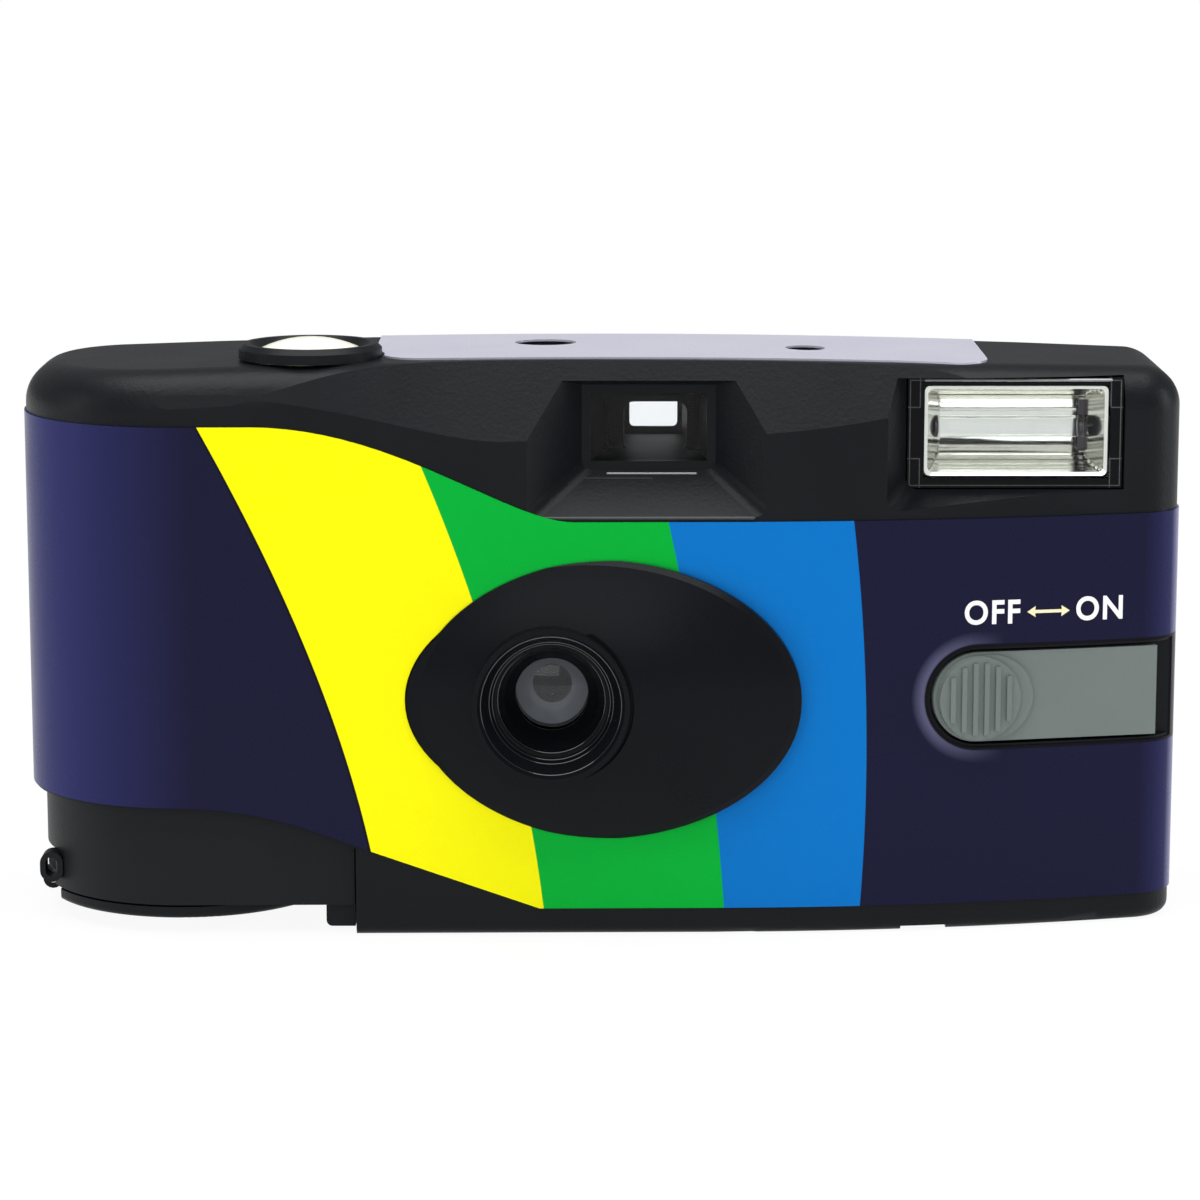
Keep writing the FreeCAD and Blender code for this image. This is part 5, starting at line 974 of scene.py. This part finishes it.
def flat_words(
    text: str,
    size: float,
    thickness: float,
    boldness: float = 0.0,
    spacing: float = 1.0,
) -> bpy.types.Mesh:
    """Sets plain lettering in the XY plane, centred on its own origin.

    Args:
        text: the words.
        size: the letter size in metres.
        thickness: how thick the letters are in metres.
        boldness: how far the outlines move out, as a share of the size.
        spacing: how far the letters stand apart, as a share of their own spacing.

    Returns:
        A closed mesh of the letters.
    """
    curve = bpy.data.curves.new(text, "FONT")
    curve.body = text
    curve.size = size
    curve.extrude = thickness / 2
    curve.offset = size * boldness
    curve.space_character = spacing
    curve.align_x = "CENTER"
    curve.align_y = "CENTER"
    curve.resolution_u = 6
    return evaluated(linked(text, curve))


class Pattern(Graph):
    """A Geometry Nodes tree that is run once and leaves a plain mesh."""

    def __init__(self, name: str, inputs: dict[str, tuple[str, Value]]) -> None:
        """Starts a tree.

        Args:
            name: the tree's name.
            inputs: each named input's kind and value.
        """
        self.name = name
        self.values = {key: value for key, (_, value) in inputs.items()}
        self.tree = bpy.data.node_groups.new(name, "GeometryNodeTree")
        for key, (kind, _) in inputs.items():
            self.tree.interface.new_socket(name=key, in_out="INPUT", socket_type=f"NodeSocket{kind}")
        self.tree.interface.new_socket(
            name="Geometry", in_out="OUTPUT", socket_type="NodeSocketGeometry",
        )
        self.given = self.tree.nodes.new("NodeGroupInput").outputs

    def spread(
        self,
        points: bpy.types.NodeSocket,
        piece: bpy.types.NodeSocket,
        turn: Union[bpy.types.NodeSocket, Point] = (0, 0, 0),
        scale: Union[bpy.types.NodeSocket, Point] = (1, 1, 1),
    ) -> bpy.types.NodeSocket:
        """Sets a copy of a piece on every point.

        Args:
            points: the points.
            piece: the piece.
            turn: the copies' rotation.
            scale: their scale.

        Returns:
            The copies.
        """
        inputs = {"Points": points, "Instance": piece, "Rotation": turn, "Scale": scale}
        return self.add("GeometryNodeInstanceOnPoints", None, inputs)

    def mesh(self, result: bpy.types.NodeSocket, finish: Finish) -> bpy.types.Mesh:
        """Closes the tree, runs it and takes its result as a plain mesh.

        Args:
            result: the geometry to hand out.
            finish: the finish that it wears.

        Returns:
            The mesh.
        """
        real = self.add("GeometryNodeRealizeInstances", None, {0: result})
        worn = self.add("GeometryNodeSetMaterial", None, {0: real, "Material": finish.material()})
        self.tree.links.new(worn, self.tree.nodes.new("NodeGroupOutput").inputs[0])
        host = linked(self.name, bpy.data.meshes.new(self.name))
        modifier = host.modifiers.new(self.name, "NODES")
        modifier.node_group = self.tree
        for item in self.tree.interface.items_tree:
            if item.in_out == "INPUT":
                modifier[item.identifier] = self.values[item.name]
        return evaluated(host)


@dataclass
class SwitchWords:
    """The words and the two-headed arrow printed over the flash switch.

    Attributes:
        front_y: the label's foremost face.
        arc_x: where the front's arc comes foremost.
        arc_radius: the label's radius.
        lift: how far the ink stands off the label.
        ink: the ink's thickness.
        words: each word with its piece's name, its ends in X and its foot and head in Z.
        arrow: the arrow's ends in X.
        arrow_z: the arrow's height.
        arrow_line: half the arrow's line width.
        head_length: the length of an arrow head.
        head_half: half the width of an arrow head.
        notch: where the line meets a head, as a share of its length.
        boldness: how far the letters' outlines move out, as a share of their height.
        spacing: how far the letters stand apart, as a share of their own spacing.
    """

    front_y: float = -12.5 * MM
    arc_x: float = 9.0 * MM
    arc_radius: float = 180.2 * MM
    lift: float = 0.03 * MM
    ink: float = 0.03 * MM
    words: tuple = (
        ("OFF", "off_word", (35.93 * MM, 41.5 * MM), (31.0 * MM, 33.45 * MM)),
        ("ON", "on_word", (47.15 * MM, 51.9 * MM), (31.05 * MM, 33.5 * MM)),
    )
    arrow: tuple = (42.2 * MM, 46.5 * MM)
    arrow_z: float = 32.15 * MM
    arrow_line: float = 0.16 * MM
    head_length: float = 0.85 * MM
    head_half: float = 0.55 * MM
    notch: float = 0.95
    boldness: float = 0.025
    spacing: float = 1.14

    def onto_label(self, mesh: bpy.types.Mesh) -> bpy.types.Mesh:
        """Lays a flat mesh in X and Z, whose Y is its own thickness, onto the label's arc."""
        for vertex in mesh.vertices:
            fall = self.arc_radius - math.sqrt(self.arc_radius**2 - (vertex.co.x - self.arc_x) ** 2)
            vertex.co.y += self.front_y + fall - self.lift
        return mesh

    def word(self, text: str, ends: tuple[float, float], heights: tuple[float, float]) -> bpy.types.Mesh:
        """Sets one word into its box on the label.

        Args:
            text: the word.
            ends: its ends in X.
            heights: its foot and head in Z.

        Returns:
            The placed mesh.
        """
        (left, right), (foot, head) = ends, heights
        mesh = flat_words(text, head - foot, self.ink, self.boldness, self.spacing)
        xs = [vertex.co.x for vertex in mesh.vertices]
        ys = [vertex.co.y for vertex in mesh.vertices]
        wide = (right - left) / (max(xs) - min(xs))
        high = (head - foot) / (max(ys) - min(ys))
        for vertex in mesh.vertices:
            x, y, z = vertex.co
            vertex.co = ((x - min(xs)) * wide + left, -z, (y - min(ys)) * high + foot)
        return self.onto_label(mesh)

    def arrow_mesh(self) -> bpy.types.Mesh:
        """Returns the two-headed arrow, laid on the label."""
        left, right = self.arrow
        inner = self.head_length * self.notch
        upper = [
            (left, 0.0),
            (left + self.head_length, self.head_half),
            (left + inner, self.arrow_line),
            (right - inner, self.arrow_line),
            (right - self.head_length, self.head_half),
            (right, 0.0),
        ]
        outline = upper + [(x, -z) for x, z in reversed(upper[1:-1])]
        work = bmesh.new()
        rings = []
        for y in (-self.ink / 2, self.ink / 2):
            rings.append([work.verts.new((x, y, z + self.arrow_z)) for x, z in outline])
            work.faces.new(rings[-1])
        bridge(work, rings)
        return self.onto_label(kept("switch_arrow", work))

    def build(self) -> None:
        """Makes the words and the arrow."""
        for text, name, ends, heights in self.words:
            placed(name, dressed(self.word(text, ends, heights), PALETTE.white_ink), "body")
        placed("switch_arrow", dressed(self.arrow_mesh(), PALETTE.cream_ink), "body")


@dataclass
class ReflectorBowl:
    """The plated bowl behind the flash window: a fluted trough with slanted ends.

    Attributes:
        box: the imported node's lowest and highest corners.
        rim: the width of the flat rim.
        wall: its sheet's thickness.
        corner: the rim's corner radius.
        back_corner: the radius at the back, as a share of it.
        end_slant: how far each end leans in towards the back.
        back_half: half the height of the trough's floor.
        flutes: how many facets each side of the trough has.
        ridge: how far every second facet's edge stands in.
        reach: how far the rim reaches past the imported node: left, right, down and up.
        corner_steps: how many faces round a corner.
    """

    box: Box
    rim: float = 0.24 * MM
    wall: float = 0.22 * MM
    corner: float = 0.7 * MM
    back_corner: float = 0.4
    end_slant: float = 1.7 * MM
    back_half: float = 1.5 * MM
    flutes: int = 12
    ridge: float = 0.10 * MM
    reach: tuple = (0.0, 0.4 * MM, 0.2 * MM, 0.35 * MM)
    corner_steps: int = 4

    def corners(self) -> Box:
        """Returns the bowl's lowest and highest corners."""
        left, right, down, up = self.reach
        return self.box[0] - Vector((left, 0, down)), self.box[1] + Vector((right, 0, up))

    def ring(self, half_x: float, half_z: float, radius: float) -> list[tuple[float, float]]:
        """Returns a rounded rectangle's points about its own middle.

        Args:
            half_x: half its length.
            half_z: half its height.
            radius: its corner radius.

        Returns:
            The points in order.
        """
        points = []
        for turn, (side_x, side_z) in enumerate(((1, 1), (-1, 1), (-1, -1), (1, -1))):
            for step in range(self.corner_steps + 1):
                angle = math.pi / 2 * (turn + step / self.corner_steps)
                points.append((
                    side_x * (half_x - radius) + radius * math.cos(angle),
                    side_z * (half_z - radius) + radius * math.sin(angle),
                ))
        return points

    def layers(self) -> list[tuple[float, float, float, float]]:
        """Returns each layer's depth, half length, half height and corner radius."""
        size = self.corners()[1] - self.corners()[0]
        half_x, half_z = size.x / 2, size.z / 2
        found = [(0.0, half_x, half_z, self.corner)]
        for step in range(self.flutes + 1):
            share = step / self.flutes
            bulge = math.sqrt(1 - share**2)
            half_height = self.back_half + (half_z - self.rim - self.back_half) * bulge
            found.append((
                self.wall / 2 + (size.y - self.wall * 1.5) * share,
                half_x - self.rim - self.end_slant * share,
                half_height - self.ridge * (step % 2),
                self.corner * (1 - share * (1 - self.back_corner)),
            ))
        return found

    def mesh(self) -> bpy.types.Mesh:
        """Returns the bowl as a closed sheet."""
        low, high = self.corners()
        middle = (low + high) / 2
        work = bmesh.new()
        rings = []
        for depth, half_x, half_z, radius in self.layers():
            points = self.ring(half_x, half_z, min(radius, half_z * 0.9))
            rings.append([work.verts.new((middle.x + x, low.y + depth, middle.z + z)) for x, z in points])
        bridge(work, rings)
        work.faces.new(rings[-1])
        bmesh.ops.recalc_face_normals(work, faces=work.faces)
        bmesh.ops.solidify(work, geom=work.faces, thickness=self.wall)
        return kept("reflector_bowl", work)

    def build(self) -> None:
        """Makes the bowl and stands it in for its solid."""
        piece = placed("reflector_bowl", dressed(self.mesh(), PALETTE.mirror), "body")
        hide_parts("flash_reflector")


@dataclass
class FlashTubeFittings:
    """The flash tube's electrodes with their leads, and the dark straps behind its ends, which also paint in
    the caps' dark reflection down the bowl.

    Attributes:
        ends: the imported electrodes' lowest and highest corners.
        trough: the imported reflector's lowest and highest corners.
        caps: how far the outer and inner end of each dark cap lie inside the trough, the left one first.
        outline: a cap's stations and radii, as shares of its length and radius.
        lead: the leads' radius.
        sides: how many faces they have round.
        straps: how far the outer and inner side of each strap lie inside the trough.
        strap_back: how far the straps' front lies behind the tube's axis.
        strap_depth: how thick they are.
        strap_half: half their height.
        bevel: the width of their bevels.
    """

    ends: Box
    trough: Box
    caps: tuple = ((1.3 * MM, 1.8 * MM), (1.5 * MM, 2.3 * MM))
    outline: tuple = ((0.0, 0.0), (0.0, 0.5), (0.08, 0.82), (0.22, 1.0), (0.8, 1.0), (0.93, 0.8), (1.0, 0.4))
    lead: float = 0.08 * MM
    sides: int = 28
    straps: tuple = ((1.66 * MM, 1.76 * MM), (1.3 * MM, 2.05 * MM))
    strap_back: float = 1.15 * MM
    strap_depth: float = 0.15 * MM
    strap_half: float = 2.5 * MM
    bevel: float = 0.02 * MM

    def inside(self, insets: tuple) -> list[tuple[float, float]]:
        """Returns, for both ends of the trough, the inner and outer place in X that insets give."""
        (left_outer, left_inner), (right_outer, right_inner) = insets
        left, right = self.trough[0].x, self.trough[1].x
        return [(left + left_inner, left + left_outer), (right - right_inner, right - right_outer)]

    def profile(self, near: float, far: float, end: float) -> list[tuple[float, float]]:
        """Returns one electrode's outline from its cap out to the end of its lead.

        Args:
            near: where its cap begins.
            far: where its cap ends.
            end: where its lead ends.

        Returns:
            The stations with their radii.
        """
        radius = (self.ends[1].z - self.ends[0].z) / 2
        points = [(near + share * (far - near), size * radius) for share, size in self.outline]
        return points + [(far, self.lead), (end, self.lead), (end, 0.0)]

    def build(self) -> None:
        """Makes both electrodes, stands them in for their solid, and makes the straps."""
        low, high = self.ends
        middle = (low + high) / 2
        axis = Vector((0, middle.y, middle.z))
        work = bmesh.new()
        for (near, far), end in zip(self.inside(self.caps), (low.x, high.x)):
            work.from_mesh(turned(self.profile(near, far, end), Axis.X, axis, self.sides))
        piece = placed("flash_leads", dressed(kept("flash_leads", work), PALETTE.dark_metal), "body")
        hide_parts("flash_electrodes")
        # The straps stand behind the caps like clips, and are also a painted reflection: the caps' dark
        # reflection down the bowl.
        front = middle.y + self.strap_back
        boxes = []
        for places in self.inside(self.straps):
            boxes.append((
                Vector((min(places), front, middle.z - self.strap_half)),
                Vector((max(places), front + self.strap_depth, middle.z + self.strap_half)),
            ))
        straps = blocks("tube_straps_painted_reflection", boxes, self.bevel)
        placed("tube_straps_painted_reflection", dressed(straps, PALETTE.dark_metal), "body")


@dataclass
class FrontTrim:
    """Thin beads on the front's edges, lighter than the black as painted highlights, and the fine rings in
    the lens funnel.

    Attributes:
        rings: each ring's radius, its place behind the lens panel's front and half its thickness.
        ring_steps: how many faces round a ring's section.
        sides: how many faces round a ring.
        beads: each bead's name, the node whose lowest corner its ends are given from, these ends and
     its radius in millimetres, and whether it is a clear edge with the light grey bead finish, or a dark edge
     with the grey edge finish; both are painted highlight.
        dome: a bead's end: the places and radii of its outline, as shares of its radius.
        bead_sides: how many faces round a bead.
    """

    rings: tuple = (
        (6.9 * MM, 0.51 * MM, 0.08 * MM),
        (6.1 * MM, 1.97 * MM, 0.06 * MM),
        (5.8 * MM, 2.5 * MM, 0.06 * MM),
        (5.3 * MM, 3.38 * MM, 0.06 * MM),
    )
    ring_steps: int = 8
    sides: int = 96
    beads: tuple = (
        (
            "finder_sill", "viewfinder_front_lens",
            (2.35, -1.30, -0.33), (11.35, -1.30, -0.33), 0.11, True,
        ),
        (
            "finder_sill_edge", "viewfinder_front_lens",
            (0.25, -1.78, -0.73), (6.95, -1.78, -0.73), 0.04, False,
        ),
        (
            "finder_lip", "viewfinder_front_lens",
            (-4.45, -5.86, -4.07), (16.95, -5.70, -4.07), 0.16, False,
        ),
        (
            "flash_window_bead", "flash_cover",
            (1.55, -0.04, 10.71), (20.15, -0.04, 10.71), 0.15, True,
        ),
    )
    dome: tuple = ((0.0, 0.0), (0.3, 0.7), (1.0, 1.0))
    bead_sides: int = 12

    def ring_mesh(self) -> bpy.types.Mesh:
        """Returns the funnel's rings as one mesh."""
        work = bmesh.new()
        centre = middle_of("taking_lens")
        centre.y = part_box("lens_panel")[0].y
        for radius, depth, half in self.rings:
            angles = [2 * math.pi * step / self.ring_steps for step in range(self.ring_steps)]
            section = [(depth + half * math.cos(turn), radius + half * math.sin(turn)) for turn in angles]
            work.from_mesh(turned(section + section[:1], Axis.Y, centre, self.sides))
        bmesh.ops.remove_doubles(work, verts=work.verts, dist=0.0001 * MM)
        return kept("funnel_rings", work)

    def bead_mesh(self, start: Vector, end: Vector, radius: float) -> bpy.types.Mesh:
        """Returns a round bead with domed ends.

        Args:
            start: the middle of its left end.
            end: the middle of its right end.
            radius: its radius.

        Returns:
            The mesh.
        """
        run = end - start
        profile = [(place * radius, size * radius) for place, size in self.dome]
        profile += [(run.length - place, size) for place, size in reversed(profile)]
        mesh = turned(profile, Axis.X, Vector((0, 0, 0)), self.bead_sides)
        turn = Axis.X.unit().rotation_difference(run).to_matrix().to_4x4()
        mesh.transform(Matrix.Translation(start) @ turn)
        return mesh

    def build(self) -> None:
        """Makes the rings and the beads."""
        placed("funnel_rings", dressed(self.ring_mesh(), PALETTE.polished), "body")
        for name, node, start, end, radius, clear in self.beads:
            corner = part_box(node)[0]
            mesh = self.bead_mesh(corner + Vector(start) * MM, corner + Vector(end) * MM, radius * MM)
            # Both bead finishes are lighter than the black round them: painted highlight on the edges.
            finish = PALETTE.bead if clear else PALETTE.worn_edge
            placed(name, dressed(mesh, finish), "body")


@dataclass
class CounterDial:
    """The exposure numbers and ticks on the counter's disc.

    Attributes:
        disc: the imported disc's lowest and highest corners.
        exposures: the highest number.
        divisions: how many steps a full turn has.
        digit: the height of a number.
        number_inset: how far inside the edge the numbers stand, in digit heights.
        ink: the ink's thickness.
        tick_length: a tick's length.
        tick_width: a tick's width.
        tick_inset: how far inside the edge the ticks stand, in tick lengths.
    """

    disc: Box
    exposures: int = 27
    divisions: int = 36
    digit: float = 1.25 * MM
    number_inset: float = 0.95
    ink: float = 0.02 * MM
    tick_length: float = 0.55 * MM
    tick_width: float = 0.16 * MM
    tick_inset: float = 0.7

    def centre(self) -> Vector:
        """Returns the middle of the ink's layer on the disc's top face."""
        low, high = self.disc
        return Vector(((low.x + high.x) / 2, (low.y + high.y) / 2, high.z + self.ink / 2))

    def radius(self, inset: float) -> float:
        """Returns the radius at a distance inside the disc's edge."""
        return (self.disc[1].x - self.disc[0].x) / 2 - inset

    def numbers(self) -> bpy.types.Mesh:
        """Returns every number as one mesh, with the last one under the window."""
        centre = self.centre()
        reach = self.radius(self.digit * self.number_inset)
        window = middle_of("counter_window")
        start = math.atan2(window.y - centre.y, window.x - centre.x)
        work = bmesh.new()
        for number in range(self.exposures + 1):
            angle = start + 2 * math.pi * (self.exposures - number) / self.divisions
            mesh = flat_words(str(number), self.digit, self.ink)
            spot = centre + Vector((reach * math.cos(angle), reach * math.sin(angle), 0))
            mesh.transform(Matrix.Translation(spot) @ Matrix.Rotation(angle - start, 4, "Z"))
            work.from_mesh(mesh)
            bpy.data.meshes.remove(mesh)
        return kept("dial_numbers", work, outward=False)

    def ticks(self) -> bpy.types.Mesh:
        """Returns a tick at each division."""
        pattern = Pattern("dial_ticks", {
            "Count": ("Int", self.divisions),
            "Radius": ("Float", self.radius(self.tick_length * self.tick_inset)),
            "Tick": ("Vector", (self.tick_length, self.tick_width, self.ink)),
            "Centre": ("Vector", tuple(self.centre())),
        })
        given = pattern.given
        ring = pattern.add("GeometryNodeMeshCircle", None, {
            "Vertices": given["Count"], "Radius": given["Radius"],
        })
        tick = pattern.add("GeometryNodeMeshCube", None, {"Size": given["Tick"]})
        index = pattern.add("GeometryNodeInputIndex")
        share = pattern.add("ShaderNodeMath", {"operation": "DIVIDE"}, {0: index, 1: given["Count"]})
        angle = pattern.add("ShaderNodeMath", {"operation": "MULTIPLY"}, {0: share, 1: 2 * math.pi})
        spread = pattern.spread(ring, tick, turn=pattern.add("ShaderNodeCombineXYZ", None, {"Z": angle}))
        moved = pattern.add("GeometryNodeTransform", None, {
            "Geometry": spread, "Translation": given["Centre"],
        })
        return pattern.mesh(moved, PALETTE.black_ink)

    def build(self) -> None:
        """Makes the numbers and the ticks."""
        placed("dial_numbers", dressed(self.numbers(), PALETTE.black_ink), "counter")
        placed("dial_ticks", self.ticks(), "counter")


@dataclass
class CoilWinding:
    """Turns of enamelled wire on the trigger coil's bobbin.

    Attributes:
        bobbin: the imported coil's lowest and highest corners.
        cheek: how far the winding keeps from the bobbin's ends.
        radius: the turns' radius.
        wire: the wire's radius.
        pitch: the turns' spacing, in wire radii.
        turn_steps: how many faces round a turn.
        wire_steps: how many faces round the wire.
    """

    bobbin: Box
    cheek: float = 1.2 * MM
    radius: float = 2.0 * MM
    wire: float = 0.12 * MM
    pitch: float = 2.1
    turn_steps: int = 24
    wire_steps: int = 6

    def build(self) -> None:
        """Makes the turns along X."""
        low, high = self.bobbin
        length = high.x - low.x - 2 * self.cheek
        count = int(length / (self.wire * self.pitch))
        pattern = Pattern("trigger_winding", {
            "Turns": ("Int", count),
            "Start": ("Vector", (low.x + self.cheek, (low.y + high.y) / 2, (low.z + high.z) / 2)),
            "Pitch": ("Vector", (length / count, 0, 0)),
            "Radius": ("Float", self.radius),
            "Wire": ("Float", self.wire),
        })
        given = pattern.given
        line = pattern.add("GeometryNodeMeshLine", None, {
            "Count": given["Turns"], "Start Location": given["Start"], "Offset": given["Pitch"],
        })
        turn, section = (
            pattern.add("GeometryNodeCurvePrimitiveCircle", None, {"Resolution": steps, "Radius": radius})
            for steps, radius in ((self.turn_steps, given["Radius"]), (self.wire_steps, given["Wire"]))
        )
        wire = pattern.add("GeometryNodeCurveToMesh", None, {"Curve": turn, "Profile Curve": section})
        spread = pattern.spread(line, wire, turn=(0, math.pi / 2, 0))
        placed("trigger_winding", pattern.mesh(spread, PALETTE.copper), "body")


@dataclass
class BoardJoints:
    """Rows of solder joints on the flash board.

    Attributes:
        board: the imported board's lowest and highest corners.
        columns: how many joints stand in a row.
        rows: how many rows there are.
        pitch: their spacing.
        inset: how far their middle lies from the board's right end and below its middle, in pitches.
        size: a joint's radius.
        steps: how many faces a joint has round and up.
        spread: the smallest and largest joint, as shares of the size.
        height: how high a joint stands, as a share of its radius.
    """

    board: Box
    columns: int = 5
    rows: int = 9
    pitch: float = 2.54 * MM
    inset: tuple = (3.0, 2.5)
    size: float = 0.42 * MM
    steps: tuple = (12, 8)
    spread: tuple = (0.75, 1.1)
    height: float = 0.45

    def build(self) -> None:
        """Makes the joints as low domes that vary a little."""
        low, high = self.board
        right, down = (self.pitch * share for share in self.inset)
        pattern = Pattern("board_joints", {
            "Columns": ("Int", self.columns),
            "Rows": ("Int", self.rows),
            "Width": ("Float", self.pitch * (self.columns - 1)),
            "Height": ("Float", self.pitch * (self.rows - 1)),
            "Size": ("Float", self.size),
            "Middle": ("Vector", (high.x - right, high.y, (low.z + high.z) / 2 - down)),
        })
        given = pattern.given
        grid = pattern.add("GeometryNodeMeshGrid", None, {
            "Size X": given["Width"], "Size Y": given["Height"],
            "Vertices X": given["Columns"], "Vertices Y": given["Rows"],
        })
        round_steps, up_steps = self.steps
        dome = pattern.add("GeometryNodeMeshUVSphere", None, {
            "Segments": round_steps, "Rings": up_steps, "Radius": given["Size"],
        })
        smallest, largest = self.spread
        vary = pattern.add("FunctionNodeRandomValue", {"data_type": "FLOAT"},
                           {2: smallest, 3: largest, "Seed": SEED}, 1)
        flat = pattern.add("ShaderNodeCombineXYZ", None, {"X": vary, "Y": vary, "Z": self.height})
        moved = pattern.add("GeometryNodeTransform", None, {
            "Geometry": pattern.spread(grid, dome, scale=flat), "Translation": given["Middle"],
            "Rotation": (math.pi / 2, 0, 0),
        })
        placed("board_joints", pattern.mesh(moved, PALETTE.steel), "body")


@dataclass(frozen=True)
class StudioFloor(Finish):
    """The pale floor, which looks white and keeps a soft shadow.

    Attributes:
        colour: its colour.
        glow: the share of it near the object that is plain white to the camera.
        near: how far from the object's middle that share begins to rise to all of it, in millimetres.
        rise: over what length it rises.
    """

    name: str = "studio_floor"
    colour: Colour = (0.86, 0.86, 0.86)
    glow: float = 0.93
    near: float = 90.0
    rise: float = 160.0

    def shader(self, recipe: Recipe) -> Signal:
        """Returns a pale floor, plain white to what sees it directly, also by way of a mirror or a window."""
        seen = recipe.seen_by("Camera", "Glossy", "Transmission")
        x, y, _ = recipe.place()
        far = x.absolute().highest(y.absolute()).past(self.near + self.rise / 2, self.rise)
        matt = recipe.node("ShaderNodeBsdfDiffuse", None, {"Color": self.colour})
        white = recipe.node("ShaderNodeEmission", None, {"Color": WHITE, "Strength": 1.0})
        return recipe.blend(seen * (self.glow + far * (1 - self.glow)), matt, white)


@dataclass
class Studio:
    """The floor, the lights and the camera.

    Attributes:
        floor_size: half the floor's side.
        floor_steps: how many faces the floor has along a side.
        camera_at: the camera's place.
        camera_to: the point that it looks at.
        lens: its focal length in millimetres.
        sensor: its sensor's width in millimetres.
        nearest: the nearest distance that it sees.
        ambient: the strength of the even light.
        lamps: each lamp's name, place, aim, size and power.
    """

    floor_size: float = 4.0
    floor_steps: int = 8
    camera_at: Point = (0.0, -0.3961, 0.1043)
    camera_to: Point = (0.0, -0.0125, 0.0339)
    lens: float = 119.46
    sensor: float = 36.0
    nearest: float = 0.01
    ambient: float = 0.28
    lamps: tuple = (
        ("top_softbox", (0.0, -0.06, 0.75), (0.0, 0.0, 0.03), (0.9, 0.66), 8.8),
        ("front_softbox", (-0.14, -0.9, 0.55), (0.0, 0.0, 0.03), (0.7, 0.6), 2.45),
        ("left_strip", (-0.75, -0.12, 0.12), (-0.05, 0.0, 0.03), (0.12, 0.6), 0.95),
        ("right_strip", (0.75, -0.02, 0.12), (0.05, 0.0, 0.03), (0.12, 0.6), 2.0),
    )

    @staticmethod
    def aim(holder: bpy.types.Object, place: Point, target: Point) -> None:
        """Sets a lamp or the camera at a place, turned to a target."""
        holder.location = place
        holder.rotation_euler = (Vector(target) - Vector(place)).to_track_quat("-Z", "Y").to_euler()

    def floor(self) -> None:
        """Makes the floor as one flat sheet under the camera."""
        work = bmesh.new()
        steps = self.floor_steps
        bmesh.ops.create_grid(work, x_segments=steps, y_segments=steps, size=self.floor_size)
        mesh = kept("studio_floor", work, outward=False)
        linked("studio_floor", dressed(mesh, StudioFloor()))

    def sky(self) -> None:
        """Makes the even light, plain white to what sees it directly."""
        world = bpy.data.worlds.new("studio_world")
        recipe = Recipe(world)
        even, white = (
            recipe.node("ShaderNodeBackground", None, {"Color": WHITE, "Strength": strength})
            for strength in (self.ambient, 1.0)
        )
        seen = recipe.seen_by("Camera", "Transmission")
        recipe.finish(recipe.blend(seen, even, white), "ShaderNodeOutputWorld")
        bpy.context.scene.world = world

    def light(self) -> None:
        """Sets the soft lamps."""
        for name, place, target, size, power in self.lamps:
            lamp = bpy.data.lights.new(name, "AREA")
            lamp.shape = "RECTANGLE"
            lamp.size, lamp.size_y = size
            lamp.energy = power
            self.aim(linked(name, lamp), place, target)

    def camera(self) -> None:
        """Sets the camera where the photograph was taken from."""
        data = bpy.data.cameras.new("photograph")
        data.sensor_width = self.sensor
        data.lens = self.lens
        data.clip_start = self.nearest
        holder = linked("photograph", data)
        self.aim(holder, self.camera_at, self.camera_to)
        bpy.context.scene.camera = holder
        bpy.context.scene.view_settings.view_transform = "Standard"

    def build(self) -> None:
        """Makes everything round the object."""
        self.floor()
        self.sky()
        self.light()
        self.camera()


def dress_solids() -> None:
    """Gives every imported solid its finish."""
    finishes = PALETTE.by_node()
    for name, node in frame["nodes"].items():
        dressed(node.data, finishes[name])
        LOG.info("%s wears %s", name, finishes[name].name)


def main() -> None:
    """Builds the looks in order."""
    logging.basicConfig(level=logging.INFO, format="%(name)s: %(message)s")
    dress_solids()
    Studio().build()
    SwitchWords().build()
    ReflectorBowl(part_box("flash_reflector")).build()
    FlashTubeFittings(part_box("flash_electrodes"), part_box("flash_reflector")).build()
    FrontTrim().build()
    CounterDial(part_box("counter_disc")).build()
    BoardJoints(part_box("flash_board")).build()
    CoilWinding(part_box("trigger_coil")).build()


if __name__ == "__main__":
    main()
